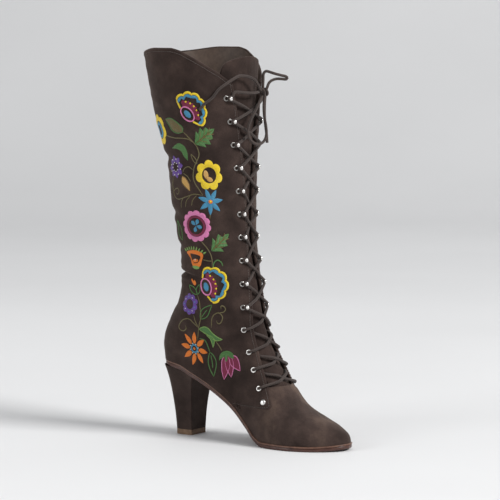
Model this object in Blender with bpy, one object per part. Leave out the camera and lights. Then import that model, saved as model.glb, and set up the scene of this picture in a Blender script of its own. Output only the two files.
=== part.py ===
"""Lace-up boot with a block heel: a left boot, the heel's ground face at the origin, toe along +X."""

import math

import bmesh
import bpy
import numpy as np

# Driving dimensions, in metres.
BOOT_HEIGHT = 0.401
HEEL_HEIGHT = 0.079
FOOT_LENGTH = 0.2215
HEEL_SETBACK = 0.0245
BALL_WIDTH = 0.078
SHAFT_WIDTH = 0.120
WALL = 0.0020
OVERLAY = 0.0008
GAP = 0.0003
SOLE_THICKNESS = 0.0033
RAND_THICKNESS = 0.0013
SOLE_MARGIN = 0.0013
SEAT_MARGIN = 0.0004
INSOLE_THICKNESS = 0.0025
INSOLE_EASE = 0.0012
TOP_LIFT = 0.0055
HEEL_WIDTH = 0.0466
TONGUE_THICKNESS = 0.0022
TONGUE_EASE = 0.0013
TONGUE_WIDTH = 0.070
FITTING_EASE = 0.0005
ROW_INSET = 0.0088
HOOK_START = 0.3464 * BOOT_HEIGHT
HOOK_PITCH = 0.05893 * BOOT_HEIGHT
HOOK_COUNT = 10
RING_RADIUS = 0.0029
RING_HOLE = 0.0014
RING_THICKNESS = 0.0007
BALL_RADIUS = 0.0016
HOOK_REACH = 0.0042
LACE = 0.0029
LACE_LIFT = 0.00325
LACE_SPREAD = 0.0020
THROAT_BOTTOM = 0.1484 * BOOT_HEIGHT
THROAT_CORNER = 0.0035

SOLE_STACK = SOLE_THICKNESS + RAND_THICKNESS + 2.0 * GAP

# The shaft's width over the ball's, as on this boot.
FOOT_TO_SHAFT = 20.0 / 13.0

# Mesh density of the upper's rings.
RINGS = 28
RING_POINTS = 22

# Back profile: height above the seat as a share of the shaft, and x as a share of the foot length.
BACK_PROFILE = (
    # height, x
    (0.000, 0.000),
    (0.020, -0.003),
    (0.045, -0.003),
    (0.080, 0.006),
    (0.120, 0.027),
    (0.155, 0.054),
    (0.190, 0.083),
    (0.240, 0.102),
    (0.300, 0.108),
    (0.360, 0.096),
    (0.420, 0.079),
    (0.540, 0.050),
    (0.650, 0.033),
    (0.790, -0.027),
    (0.966, -0.077),
    (1.000, -0.086),
)

# Toe, vamp ridge, instep and shaft front: x as a share of the foot length, z of the boot height.
RIDGE_PROFILE = (
    # x, z
    (1.0000, 0.0175),
    (0.9982, 0.0299),
    (0.9819, 0.0436),
    (0.9413, 0.0574),
    (0.8962, 0.0673),
    (0.8239, 0.0823),
    (0.7517, 0.1022),
    (0.6975, 0.1272),
    (0.6433, 0.1671),
    (0.6027, 0.2120),
    (0.5666, 0.2569),
    (0.5395, 0.3042),
    (0.5102, 0.3641),
    (0.4853, 0.4239),
    (0.4650, 0.4888),
    (0.4546, 0.5536),
    (0.4524, 0.6284),
    (0.4528, 0.7232),
    (0.4564, 0.8304),
    (0.4682, 0.9726),
    (0.4709, 1.0000),
)

# Sections of shaft and heel: height above the seat as a share of the shaft, half-width as a share of the
# shaft width, place of the widest point from back to front, and the roundness of the back and the front.
SHAFT_SECTIONS = (
    # height, half_width, widest, back_power, front_power
    (-0.250, 0.205, 0.24, 2.3, 1.8),
    (0.000, 0.205, 0.24, 2.3, 1.8),
    (0.065, 0.248, 0.27, 2.2, 1.8),
    (0.120, 0.272, 0.32, 2.1, 1.8),
    (0.190, 0.286, 0.40, 2.0, 1.9),
    (0.300, 0.284, 0.48, 2.0, 2.0),
    (0.420, 0.303, 0.50, 2.0, 2.0),
    (0.540, 0.338, 0.50, 2.0, 2.0),
    (0.650, 0.366, 0.50, 2.0, 2.0),
    (0.790, 0.433, 0.50, 2.0, 2.0),
    (0.966, 0.492, 0.50, 2.0, 2.0),
    (1.000, 0.500, 0.50, 2.0, 2.0),
)

# Plan outline at the feather line: x as a share of the foot length, half-widths of the ball width.
SOLE_OUTLINE = (
    # x, medial, lateral
    (0.000, 0.000, 0.000),
    (0.006, 0.090, 0.090),
    (0.021, 0.165, 0.165),
    (0.062, 0.262, 0.262),
    (0.125, 0.312, 0.312),
    (0.197, 0.318, 0.322),
    (0.291, 0.292, 0.320),
    (0.405, 0.262, 0.338),
    (0.515, 0.312, 0.408),
    (0.617, 0.415, 0.488),
    (0.699, 0.468, 0.520),
    (0.767, 0.476, 0.507),
    (0.830, 0.436, 0.462),
    (0.893, 0.355, 0.372),
    (0.942, 0.250, 0.262),
    (0.978, 0.152, 0.158),
    (0.993, 0.082, 0.084),
    (1.000, 0.000, 0.000),
)

# Feather line, where upper and sole meet: x as a share of the foot length, z from the flat forefoot (0)
# to the heel seat (1).
FEATHER_LINE = (
    # x, z
    (0.000, 1.000),
    (0.125, 0.952),
    (0.197, 0.856),
    (0.249, 0.783),
    (0.291, 0.716),
    (0.405, 0.484),
    (0.505, 0.218),
    (0.563, 0.066),
    (0.625, 0.000),
    (0.740, 0.000),
    (0.854, 0.000),
    (0.940, 0.012),
    (1.000, 0.034),
)

# Sections of the heel block: height as a share, back and breast as shares of the foot length from the
# heel's back, half-width of the heel's width, each following the seat at the top.
HEEL_SECTIONS = (
    # height, back, breast, half_width
    (0.00, 0.0590, 0.1625, 0.268),
    (0.25, 0.0520, 0.1650, 0.290),
    (0.50, 0.0410, 0.1700, 0.326),
    (0.72, 0.0290, 0.1770, 0.374),
    (0.88, 0.0180, 0.1860, 0.430),
    (1.00, 0.0080, 0.1960, 0.492),
)

# Front edges of the facings: height as a share of the boot, half the gap as a share of the shaft width.
THROAT = (
    # height, half_gap
    (0.1000, 0.228),
    (0.1270, 0.191),
    (0.1560, 0.174),
    (0.1860, 0.154),
    (0.2100, 0.142),
    (0.2370, 0.127),
    (0.2670, 0.115),
    (0.3200, 0.102),
    (0.4100, 0.075),
    (0.4620, 0.054),
    (0.5200, 0.042),
    (0.5820, 0.046),
    (0.6390, 0.058),
    (0.7000, 0.079),
    (0.7600, 0.112),
    (0.8180, 0.146),
    (0.8760, 0.186),
    (0.9200, 0.220),
    (1.1000, 0.300),
)

# Collar line from back to front: x as a share of the shaft width from the ankle axis, height of the boot.
COLLAR = (
    # x, height
    (-0.746, 0.9860),
    (-0.516, 0.9850),
    (-0.396, 0.9900),
    (-0.166, 1.0000),
    (-0.016, 1.0010),
    (0.097, 0.9945),
    (0.168, 0.9836),
    (0.241, 0.9703),
    (0.294, 0.9592),
    (0.346, 0.9465),
    (0.386, 0.9360),
    (0.426, 0.9208),
    (0.454, 0.9105),
    (0.654, 0.8500),
)

# Heights of the eyelets below the hooks, as shares of the boot height.
EYELET_HEIGHTS = (0.1125, 0.1454, 0.1903, 0.2334, 0.2888)

# The tongue: height as a share of the boot, half-width of the tongue's half-width.
TONGUE_OUTLINE = (
    # height, half_width
    (0.122, 0.46),
    (0.200, 0.56),
    (0.320, 0.64),
    (0.500, 0.72),
    (0.750, 0.84),
    (0.870, 0.95),
    (0.925, 1.00),
    (0.950, 0.96),
    (0.964, 0.84),
    (0.972, 0.62),
    (0.9765, 0.30),
)

# Front edge of the quarters over the vamp, below the lacing: x as a share of the foot length, height of
# the boot, from the waist up to the corner of the facings.
QUARTER_EDGE = (
    # x, height
    (0.365, 0.040),
    (0.395, 0.085),
    (0.440, 0.096),
    (0.520, 0.098),
    (0.600, 0.098),
    (0.650, 0.099),
    (0.659, 0.104),
)

# Heights at which a ring leaves the back profile, as shares of the shaft, and meets the ridge, as shares
# of the ridge's own length.
RING_LEVELS = (
    # back, ridge
    (0.000, 0.000),
    (0.030, 0.060),
    (0.065, 0.140),
    (0.110, 0.235),
    (0.170, 0.330),
    (0.260, 0.430),
    (0.400, 0.550),
    (0.600, 0.700),
    (0.800, 0.850),
    (1.000, 1.000),
)


def column(table, index):
    """One column of a table as an array."""
    return np.array([row[index] for row in table])


def smooth(x, xs, ys):
    """Monotone cubic through a table's points, level beyond its ends."""
    x = np.clip(np.asarray(x, dtype=float), xs[0], xs[-1])
    step = np.diff(xs)
    slope = np.diff(ys) / step
    tangent = np.zeros(len(xs))
    tangent[0] = slope[0]
    tangent[-1] = slope[-1]
    for i in range(1, len(xs) - 1):
        if slope[i - 1] * slope[i] > 0.0:
            w1 = 2.0 * step[i] + step[i - 1]
            w2 = step[i] + 2.0 * step[i - 1]
            tangent[i] = (w1 + w2) / (w1 / slope[i - 1] + w2 / slope[i])
    i = np.clip(np.searchsorted(xs, x, side="right") - 1, 0, len(xs) - 2)
    u = (x - xs[i]) / step[i]
    rise = (1 + 2 * u) * (1 - u) ** 2 * ys[i] + u * u * (3 - 2 * u) * ys[i + 1]
    return rise + step[i] * (u * (1 - u) ** 2 * tangent[i] - u * u * (1 - u) * tangent[i + 1])


def ease(low, high, x):
    """0 below low, 1 above high, smooth between."""
    u = np.clip((np.asarray(x, dtype=float) - low) / (high - low), 0.0, 1.0)
    return u * u * (3.0 - 2.0 * u)


def feather_z(x):
    share = (np.asarray(x) + HEEL_SETBACK) / FOOT_LENGTH
    rise = smooth(share, column(FEATHER_LINE, 0), column(FEATHER_LINE, 1))
    return SOLE_STACK + rise * (HEEL_HEIGHT - SOLE_STACK)


def ridge_curve():
    """The ridge as a dense line of points from the toe to the collar."""
    x = column(RIDGE_PROFILE, 0) * FOOT_LENGTH - HEEL_SETBACK
    z = column(RIDGE_PROFILE, 1) * BOOT_HEIGHT
    z[0] = feather_z(x[0])
    along = np.concatenate(([0.0], np.cumsum(np.hypot(np.diff(x), np.diff(z)))))
    fine = np.linspace(0.0, along[-1], 600)
    return fine / along[-1], smooth(fine, along, x), smooth(fine, along, z)


RIDGE_SHARE, RIDGE_X, RIDGE_Z = ridge_curve()
SHAFT_HEIGHT = BOOT_HEIGHT - HEEL_HEIGHT


def front_x(z):
    return np.interp(z, RIDGE_Z, RIDGE_X)


def ridge_z(x):
    low = int(np.searchsorted(RIDGE_Z, 0.45 * BOOT_HEIGHT))
    return np.interp(x, RIDGE_X[:low][::-1], RIDGE_Z[:low][::-1])


def back_x(z):
    share = (np.asarray(z) - HEEL_HEIGHT) / SHAFT_HEIGHT
    return smooth(share, column(BACK_PROFILE, 0), column(BACK_PROFILE, 1)) * FOOT_LENGTH - HEEL_SETBACK


def sole_bottom(x):
    return feather_z(x) - SOLE_STACK


def outline_half(x, lateral):
    """Half-width of the plan outline at x, on the medial or the lateral side."""
    share = (np.asarray(x) + HEEL_SETBACK) / FOOT_LENGTH
    rows = column(SOLE_OUTLINE, 2 if lateral else 1)
    return smooth(share, column(SOLE_OUTLINE, 0), rows) * BALL_WIDTH


def half_width(x, z, lateral):
    """Half-width of the upper at a place of its side profile."""
    share = (z - HEEL_HEIGHT) / SHAFT_HEIGHT
    heights = column(SHAFT_SECTIONS, 0)
    widest_half = smooth(share, heights, column(SHAFT_SECTIONS, 1)) * SHAFT_WIDTH
    widest = smooth(share, heights, column(SHAFT_SECTIONS, 2))
    back_power = smooth(share, heights, column(SHAFT_SECTIONS, 3))
    front_power = smooth(share, heights, column(SHAFT_SECTIONS, 4))
    back = back_x(z)
    front = front_x(z)
    middle = back + widest * (front - back)
    towards_back = np.clip((middle - x) / (middle - back), 0.0, 1.0)
    towards_front = np.clip((x - middle) / (front - middle), 0.0, 1.0)
    shaft = np.where(
        x < middle,
        (1.0 - towards_back**back_power) ** (1.0 / back_power),
        (1.0 - towards_front**front_power) ** (1.0 / front_power),
    )
    shaft = shaft * widest_half
    floor = feather_z(x)
    up = np.clip((z - floor) / np.maximum(ridge_z(x) - floor, 1e-6), 0.0, 1.0)
    dome = outline_half(x, lateral) * (1.0 - up**2.1) ** (1.0 / 1.9)
    foot = ease(0.20, 0.55, (x + HEEL_SETBACK) / FOOT_LENGTH)
    foot = foot * (1.0 - ease(0.20, 0.34, z / BOOT_HEIGHT))
    return shaft * (1.0 - foot) + dome * foot


def ring_profile(level, t):
    """Side-profile points of a ring, from the back (t=0) to the ridge (t=1)."""
    levels = np.linspace(0.0, 1.0, len(RING_LEVELS))
    back_share = smooth(level, levels, column(RING_LEVELS, 0))
    ridge_share = smooth(level, levels, column(RING_LEVELS, 1))
    z0 = HEEL_HEIGHT + back_share * SHAFT_HEIGHT
    x0 = back_x(z0)
    x1 = np.interp(ridge_share, RIDGE_SHARE, RIDGE_X)
    z1 = np.interp(ridge_share, RIDGE_SHARE, RIDGE_Z)
    x = x0 + t * (x1 - x0)
    z = z0 + t * (z1 - z0)
    base_x = -HEEL_SETBACK + t * FOOT_LENGTH
    chord = HEEL_HEIGHT + t * (feather_z(FOOT_LENGTH) - HEEL_HEIGHT)
    sag = feather_z(base_x) - chord
    return x, z + sag * (1.0 - ease(0.0, 0.62, level))


def ring(level, count):
    """Points of a full ring: along the medial side to the ridge, and back along the lateral side."""
    t = 0.5 - 0.5 * np.cos(np.linspace(0.0, math.pi, count + 1))
    x, z = ring_profile(level, t)
    medial = half_width(x, z, False)
    lateral = half_width(x, z, True)
    for side in (medial, lateral):
        side[0] = 0.0
        side[-1] = 0.0
    near = np.column_stack((x, -medial, z))
    far = np.column_stack((x, lateral, z))
    return np.vstack((near[:-1], far[:0:-1]))


def ring_grid(rings, count):
    return np.stack([ring(level, count) for level in np.linspace(0.0, 1.0, rings + 1)])


def grid_normals(grid):
    """Outward unit normals of a grid of rings."""
    around = np.roll(grid, -1, axis=1) - np.roll(grid, 1, axis=1)
    upward = np.gradient(grid, axis=0)
    normal = np.cross(around, upward)
    return normal / np.maximum(np.linalg.norm(normal, axis=2, keepdims=True), 1e-12)


def clear_scene():
    for item in list(bpy.data.objects):
        bpy.data.objects.remove(item, do_unlink=True)


def material(name, colour, roughness, metallic=0.0):
    item = bpy.data.materials.new(name)
    item.use_nodes = True
    shader = item.node_tree.nodes["Principled BSDF"]
    shader.inputs["Base Color"].default_value = (*colour, 1.0)
    shader.inputs["Roughness"].default_value = roughness
    shader.inputs["Metallic"].default_value = metallic
    return item


def make_object(name, verts, faces, finish):
    mesh = bpy.data.meshes.new(name)
    mesh.from_pydata([tuple(map(float, v)) for v in verts], [], faces)
    mesh.materials.append(finish)
    item = bpy.data.objects.new(name, mesh)
    bpy.context.scene.collection.objects.link(item)
    return item


def tube_faces(rows, columns):
    """Quads between closed rings of points."""
    faces = []
    for i in range(rows - 1):
        for j in range(columns):
            k = (j + 1) % columns
            faces.append((i * columns + j, i * columns + k, (i + 1) * columns + k, (i + 1) * columns + j))
    return faces


def shell(name, outer, inner, finish):
    """A closed wall between two grids of rings."""
    rows, columns, _ = outer.shape
    loop = np.concatenate((outer, inner[::-1], outer[:1]))
    verts = loop[:-1].reshape(-1, 3)
    faces = []
    total = 2 * rows
    for i in range(total):
        for j in range(columns):
            k = (j + 1) % columns
            n = (i + 1) % total
            faces.append((i * columns + j, i * columns + k, n * columns + k, n * columns + j))
    return make_object(name, verts, faces, finish)


def solid(name, verts, faces, finish):
    """A named object whose faces all point outwards."""
    item = make_object(name, verts, faces, finish)
    work = bmesh.new()
    work.from_mesh(item.data)
    bmesh.ops.recalc_face_normals(work, faces=work.faces)
    work.to_mesh(item.data)
    work.free()
    return item


def cutter(name, verts, faces):
    item = solid(name, verts, faces, CUTTER_FINISH)
    item.hide_render = True
    item.display_type = "WIRE"
    return item


def boolean(item, other, operation):
    change = item.modifiers.new(other.name, "BOOLEAN")
    change.operation = operation
    change.solver = "EXACT"
    change.object = other


def prism_faces(count):
    """Faces of a prism whose two ends have count corners each."""
    sides = [(i, (i + 1) % count, count + (i + 1) % count, count + i) for i in range(count)]
    return [tuple(range(count))[::-1], tuple(range(count, 2 * count)), *sides]


def side_prism(name, outline, half_depth):
    """A cutter from a side-view outline, through the boot from side to side."""
    verts = [(x, -half_depth, z) for x, z in outline] + [(x, half_depth, z) for x, z in outline]
    return cutter(name, verts, prism_faces(len(outline)))


def throat_half(z):
    """Half the gap between the facings at a height, from the foot's width below and the shaft's above."""
    share = np.asarray(z) / BOOT_HEIGHT
    on_shaft = ease(0.20, 0.34, share)
    width = FOOT_TO_SHAFT * BALL_WIDTH * (1.0 - on_shaft) + SHAFT_WIDTH * on_shaft
    return smooth(share, column(THROAT, 0), column(THROAT, 1)) * width


def throat_cutter():
    """What the lacing opening takes out of the front wall."""
    corner = np.array([0.0, 0.15, 0.5, 1.0])
    levels = THROAT_BOTTOM + corner * THROAT_CORNER
    levels = np.concatenate((levels, np.linspace(levels[-1], 1.08 * BOOT_HEIGHT, 34)[1:]))
    verts = []
    for z in levels:
        rounding = 1.0 - min((z - THROAT_BOTTOM) / THROAT_CORNER, 1.0)
        half = float(throat_half(z)) - THROAT_CORNER * (1.0 - math.sqrt(1.0 - rounding**2))
        deep = float(front_x(min(z, BOOT_HEIGHT))) - 0.25 * SHAFT_WIDTH
        reach = FOOT_LENGTH
        verts += [(deep, -half, z), (reach, -half, z), (reach, half, z), (deep, half, z)]
    faces = tube_faces(len(levels), 4)
    last = 4 * len(levels)
    faces += [(3, 2, 1, 0), (last - 4, last - 3, last - 2, last - 1)]
    return cutter("throat_cutter", verts, faces)


def collar_cutter():
    """Everything above the collar line."""
    axis = float(back_x(BOOT_HEIGHT) + front_x(BOOT_HEIGHT)) / 2.0
    xs = np.linspace(COLLAR[0][0], COLLAR[-1][0], 26)
    line = smooth(xs, column(COLLAR, 0), column(COLLAR, 1)) * BOOT_HEIGHT
    outline = [(axis + x * SHAFT_WIDTH, z) for x, z in zip(xs, line)]
    top = BOOT_HEIGHT * 1.1
    outline += [(outline[-1][0], top), (outline[0][0], top)]
    return side_prism("collar_cutter", outline, SHAFT_WIDTH)


def quarter_limit():
    """The room that the quarters fill, behind and above their front edge."""
    edge = [(x * FOOT_LENGTH - HEEL_SETBACK, z * BOOT_HEIGHT) for x, z in QUARTER_EDGE]
    step = THROAT_BOTTOM + THROAT_CORNER
    probe = np.linspace(edge[-1][0] - 0.15 * SHAFT_WIDTH, edge[-1][0], 60)
    widths = half_width(probe, np.full(60, step), False)
    meet = float(np.interp(-float(throat_half(step)), -widths, probe))
    far = FOOT_LENGTH
    outline = [(edge[0][0], -0.01), *edge, (meet, step), (far, step), (far, 1.1 * BOOT_HEIGHT)]
    outline += [(-SHAFT_WIDTH, 1.1 * BOOT_HEIGHT), (-SHAFT_WIDTH, -0.01)]
    return side_prism("quarter_limit", outline, SHAFT_WIDTH)


def set_out(grid, normal, distance):
    """The grid moved along its normals, its lowest ring still on the feather line."""
    moved = grid + normal * distance
    moved[0, :, 2] = feather_z(moved[0, :, 0])
    return moved


def build_upper(finish):
    """One hollow shell, with the quarters as a step over the vamp."""
    grid = ring_grid(RINGS, RING_POINTS)
    normal = grid_normals(grid)
    outer = set_out(grid, normal, OVERLAY)
    quarters = shell("quarter_layer", outer, set_out(grid, normal, -0.5 * WALL), CUTTER_FINISH)
    quarters.hide_render = True
    quarters.display_type = "WIRE"
    boolean(quarters, quarter_limit(), "INTERSECT")
    upper = shell("upper", grid, set_out(grid, normal, -WALL), finish)
    boolean(upper, quarters, "UNION")
    boolean(upper, throat_cutter(), "DIFFERENCE")
    boolean(upper, collar_cutter(), "DIFFERENCE")
    for side, level, frame in fasteners():
        if frame is not None and level < len(EYELET_HEIGHTS):
            boolean(upper, eyelet_drill(side, level, frame), "DIFFERENCE")
    return upper


def sole_ring(margin_front, margin_seat, count):
    """Plan outline of a sole layer: the upper's feather line, set out sideways."""
    line = ring(0.0, count)[:, :2]
    along = np.roll(line, -1, axis=0) - np.roll(line, 1, axis=0)
    outward = np.column_stack((along[:, 1], -along[:, 0]))
    outward /= np.linalg.norm(outward, axis=1, keepdims=True)
    share = (line[:, 0] + HEEL_SETBACK) / FOOT_LENGTH
    margin = margin_seat + (margin_front - margin_seat) * ease(0.30, 0.62, share)
    return line + outward * margin[:, None]


def sole_layer(name, outline, top, bottom, finish):
    """A plate between two heights that are functions of x."""
    count = len(outline)
    half = count // 2
    upper_side = [(x, y, float(top(x))) for x, y in outline]
    lower_side = [(x, y, float(bottom(x))) for x, y in outline]
    faces = tube_faces(2, count)
    for base in (0, count):
        for i in range(half):
            near = (base + i, base + i + 1)
            far = (base + (count - i - 1) % count, base + (count - i) % count)
            face = (near[0], near[1], far[0], far[1])
            faces.append(tuple(dict.fromkeys(face)))
    return solid(name, lower_side + upper_side, faces, finish)


def build_soles(rand_finish, sole_finish, insole_finish):
    rand_line = sole_ring(SOLE_MARGIN, SEAT_MARGIN, RING_POINTS)
    under_upper = lambda x: feather_z(x) - GAP
    under_rand = lambda x: under_upper(x) - RAND_THICKNESS
    sole_layer("rand", rand_line, under_upper, under_rand, rand_finish)
    sole_line = sole_ring(SOLE_MARGIN * 0.6, SEAT_MARGIN * 0.6, RING_POINTS)
    sole_layer("outsole", sole_line, lambda x: under_rand(x) - GAP, sole_bottom, sole_finish)
    inside = -(WALL + INSOLE_EASE)
    insole_line = sole_ring(inside, inside, RING_POINTS)
    over_rand = lambda x: feather_z(x) + GAP
    over_insole = lambda x: over_rand(x) + INSOLE_THICKNESS
    sole_layer("insole", insole_line, over_insole, over_rand, insole_finish)


def heel_outline(back, breast, half, count):
    """A heel section from one breast corner round the back to the other."""
    turn = np.linspace(-0.5 * math.pi, 0.5 * math.pi, count)
    round_off = 2.0 / 3.4
    depth = np.abs(np.cos(turn)) ** round_off
    across = np.sign(np.sin(turn)) * np.abs(np.sin(turn)) ** round_off
    middle = back + 0.55 * (breast - back)
    curve = np.column_stack((middle - (middle - back) * depth, half * across))
    return np.vstack(([breast, -half], curve, [breast, half]))


def build_heel(finish, lift_finish):
    count = 17
    shares = np.linspace(0.0, 1.0, 12)
    rings = []
    foot = TOP_LIFT + GAP
    for share in shares:
        back, breast, half = (smooth(share, column(HEEL_SECTIONS, 0), column(HEEL_SECTIONS, c)) for c in (1, 2, 3))
        outline = heel_outline(
            float(back) * FOOT_LENGTH - HEEL_SETBACK,
            float(breast) * FOOT_LENGTH - HEEL_SETBACK,
            float(half) * HEEL_WIDTH,
            count,
        )
        seat = sole_bottom(outline[:, 0]) - GAP
        rings.append(np.column_stack((outline, foot + share * (seat - foot))))
    size = len(rings[0])
    verts = np.vstack(rings)
    faces = tube_faces(len(rings), size)
    for base in (0, size * (len(rings) - 1)):
        half_size = size // 2
        for i in range(half_size):
            face = (base + i, base + i + 1, base + size - 2 - i, base + size - 1 - i)
            faces.append(tuple(dict.fromkeys(face)))
    solid("heel", verts, faces, finish)
    lift = rings[0].copy()
    lift[:, 2] = TOP_LIFT
    ground = lift.copy()
    ground[:, 2] = 0.0
    solid("top_lift", np.vstack((ground, lift)), prism_faces(size), lift_finish)


def front_section(z):
    """The upper's front at one height: x for each distance from the middle."""
    x = np.linspace(front_x(z), front_x(z) - 0.42 * SHAFT_WIDTH, 160)
    halves = [np.maximum.accumulate(half_width(x, np.full(160, z), side)) for side in (False, True)]
    return halves, x


def front_point(z, y):
    """Point of the upper's front at a height and a sideways place, medial sides negative."""
    halves, x = front_section(z)
    half = halves[1 if y > 0.0 else 0]
    return np.array([np.interp(abs(y), half, x), y, z])


def front_frame(z, y):
    """Point, outward normal, direction towards the opening and upward direction on the front."""
    point = front_point(z, y)
    step = 0.0004
    lateral = y > 0.0
    x = np.array([point[0] - step, point[0] + step, point[0], point[0]])
    heights = np.array([z, z, z - step, z + step])
    halves = half_width(x, heights, lateral)
    slope_x = (halves[1] - halves[0]) / (2.0 * step)
    slope_z = (halves[3] - halves[2]) / (2.0 * step)
    normal = np.array([-slope_x, 1.0 if lateral else -1.0, -slope_z])
    normal /= np.linalg.norm(normal)
    inward = np.cross(normal, (0.0, 0.0, 1.0))
    inward /= np.linalg.norm(inward)
    if inward[0] < 0.0:
        inward = -inward
    upward = np.cross(normal, inward)
    return point, normal, inward, upward if upward[2] > 0.0 else -upward


def row_place(z, side):
    """Sideways place of a row of fasteners, set in from the facing's edge along the surface."""
    halves, x = front_section(z)
    half = halves[1 if side > 0 else 0]
    along = np.concatenate(([0.0], np.cumsum(np.hypot(np.diff(half), np.diff(x)))))
    edge = np.interp(float(throat_half(z)), half, along)
    return side * float(np.interp(edge + ROW_INSET, along, half))


def fastener_heights():
    low = [share * BOOT_HEIGHT for share in EYELET_HEIGHTS]
    return low + [HOOK_START + i * HOOK_PITCH for i in range(HOOK_COUNT)]


def fasteners():
    """Side, level and frame of each eyelet and hook."""
    for side in (-1, 1):
        for level, z in enumerate(fastener_heights()):
            yield side, level, front_frame(z, row_place(z, side))


def lathe(profile, count):
    """Closed ring from a profile of (radius, height) around the local normal axis."""
    verts = []
    for radius, height in profile:
        for i in range(count):
            turn = 2.0 * math.pi * i / count
            verts.append((radius * math.cos(turn), radius * math.sin(turn), height))
    faces = tube_faces(len(profile), count)
    first = [(len(profile) - 1) * count + i for i in range(count)]
    for i in range(count):
        faces.append((first[i], first[(i + 1) % count], (i + 1) % count, i))
    return verts, faces


def placed(verts, frame, lift):
    """Local points (towards the opening, up, out) set on the surface."""
    point, normal, inward, upward = frame
    return [point + inward * a + upward * b + normal * (c + lift) for a, b, c in verts]


RING_PROFILE = (
    (RING_HOLE, 0.0),
    (RING_RADIUS, 0.0),
    (RING_RADIUS * 0.86, RING_THICKNESS),
    (RING_HOLE * 1.15, RING_THICKNESS),
)


def eyelet_drill(side, level, frame):
    verts = []
    count = 8
    for depth in (-3.0 * WALL, 2.0 * WALL):
        for i in range(count):
            turn = 2.0 * math.pi * i / count
            verts.append((RING_HOLE * math.cos(turn), RING_HOLE * math.sin(turn), depth))
    return cutter(f"drill_{side}_{level}", placed(verts, frame, 0.0), prism_faces(count))


def tube(points, radius, count, up):
    """Closed tube along points."""
    points = np.array(points)
    verts = []
    for i, point in enumerate(points):
        ahead = points[min(i + 1, len(points) - 1)] - points[max(i - 1, 0)]
        ahead /= np.linalg.norm(ahead)
        side = np.cross(ahead, up)
        side /= np.linalg.norm(side)
        top = np.cross(side, ahead)
        for k in range(count):
            turn = 2.0 * math.pi * (k + 0.5) / count
            verts.append(point + radius * (math.cos(turn) * side + math.sin(turn) * top))
    faces = tube_faces(len(points), count)
    faces += [tuple(range(count))[::-1], tuple(range(len(verts) - count, len(verts)))]
    return verts, faces


def ball(centre, radius, rows, count):
    """Faceted ball."""
    verts = [(0.0, 0.0, -radius)]
    for i in range(1, rows):
        angle = math.pi * i / rows
        for k in range(count):
            turn = 2.0 * math.pi * k / count
            ring_radius = radius * math.sin(angle)
            verts.append((ring_radius * math.cos(turn), ring_radius * math.sin(turn), -radius * math.cos(angle)))
    verts.append((0.0, 0.0, radius))
    last = len(verts) - 1
    faces = []
    for k in range(count):
        n = (k + 1) % count
        faces.append((0, 1 + n, 1 + k))
        faces.append((last, last - count + k, last - count + n))
        for i in range(rows - 2):
            low = 1 + i * count
            faces.append((low + k, low + n, low + count + n, low + count + k))
    return [tuple(np.array(v) + np.array(centre)) for v in verts], faces


def build_fasteners(finish):
    lift = OVERLAY + FITTING_EASE
    shank_start = 0.5 * (RING_HOLE + RING_RADIUS)
    head = BALL_RADIUS + RING_THICKNESS + 0.0011
    for side, level, frame in fasteners():
        word = "medial" if side < 0 else "lateral"
        low = len(EYELET_HEIGHTS)
        verts, faces = lathe(RING_PROFILE, 12)
        if level < low:
            solid(f"eyelet_{word}_{level + 1:02d}", placed(verts, frame, lift), faces, finish)
            continue
        name = f"hook_{word}_{level - low + 1:02d}"
        hook = solid(name, placed(verts, frame, lift), faces, finish)
        route = ((shank_start, 0.0, 0.0004), (RING_RADIUS, 0.0, 0.0010), (HOOK_REACH, 0.0, head))
        verts, faces = tube(route, 0.00062, 6, (0.0, 1.0, 0.0))
        boolean(hook, cutter(f"{name}_shank", placed(verts, frame, lift), faces), "UNION")
        verts, faces = ball((HOOK_REACH, 0.0, head), BALL_RADIUS, 4, 7)
        boolean(hook, cutter(f"{name}_ball", placed(verts, frame, lift), faces), "UNION")


def front_grid(heights, halves, columns, depth):
    """Points on the front, rows by height, columns across, set in by a depth."""
    rows = []
    for z, half in zip(heights, halves):
        turn = np.linspace(-1.0, 1.0, columns)
        row = []
        for share in turn:
            point, normal, _, _ = front_frame(z, float(share * half))
            row.append(point - normal * depth)
        rows.append(row)
    return np.array(rows)


def build_tongue(finish):
    columns = 9
    low = np.linspace(TONGUE_OUTLINE[0][0], 0.28, 11)
    heights = np.concatenate((low, np.linspace(0.28, 0.925, 15)[1:]))
    heights = np.concatenate((heights, [0.940, 0.953, 0.963, 0.970, 0.9755])) * BOOT_HEIGHT
    share = column(TONGUE_OUTLINE, 1) * 0.5 * TONGUE_WIDTH
    halves = smooth(heights, column(TONGUE_OUTLINE, 0) * BOOT_HEIGHT, share)
    front = front_grid(heights, halves, columns, WALL + TONGUE_EASE)
    back = front_grid(heights, halves, columns, WALL + TONGUE_EASE + TONGUE_THICKNESS)
    rings = np.concatenate((front, back[:, ::-1]), axis=1)
    size = rings.shape[1]
    faces = tube_faces(len(heights), size)
    for base in (0, size * (len(heights) - 1)):
        for i in range(columns - 1):
            faces.append((base + i, base + i + 1, base + size - 2 - i, base + size - 1 - i))
    solid("tongue", rings.reshape(-1, 3), faces, finish)


def strand(low_z, low_y, high_z, high_y, count):
    """A lace strand over the front, lifted clear of the facings."""
    points = []
    for share in np.linspace(0.0, 1.0, count):
        z = low_z + share * (high_z - low_z)
        y = low_y + share * (high_y - low_y)
        point, normal, _, _ = front_frame(z, y)
        points.append(point + normal * LACE_LIFT)
    return points


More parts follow.
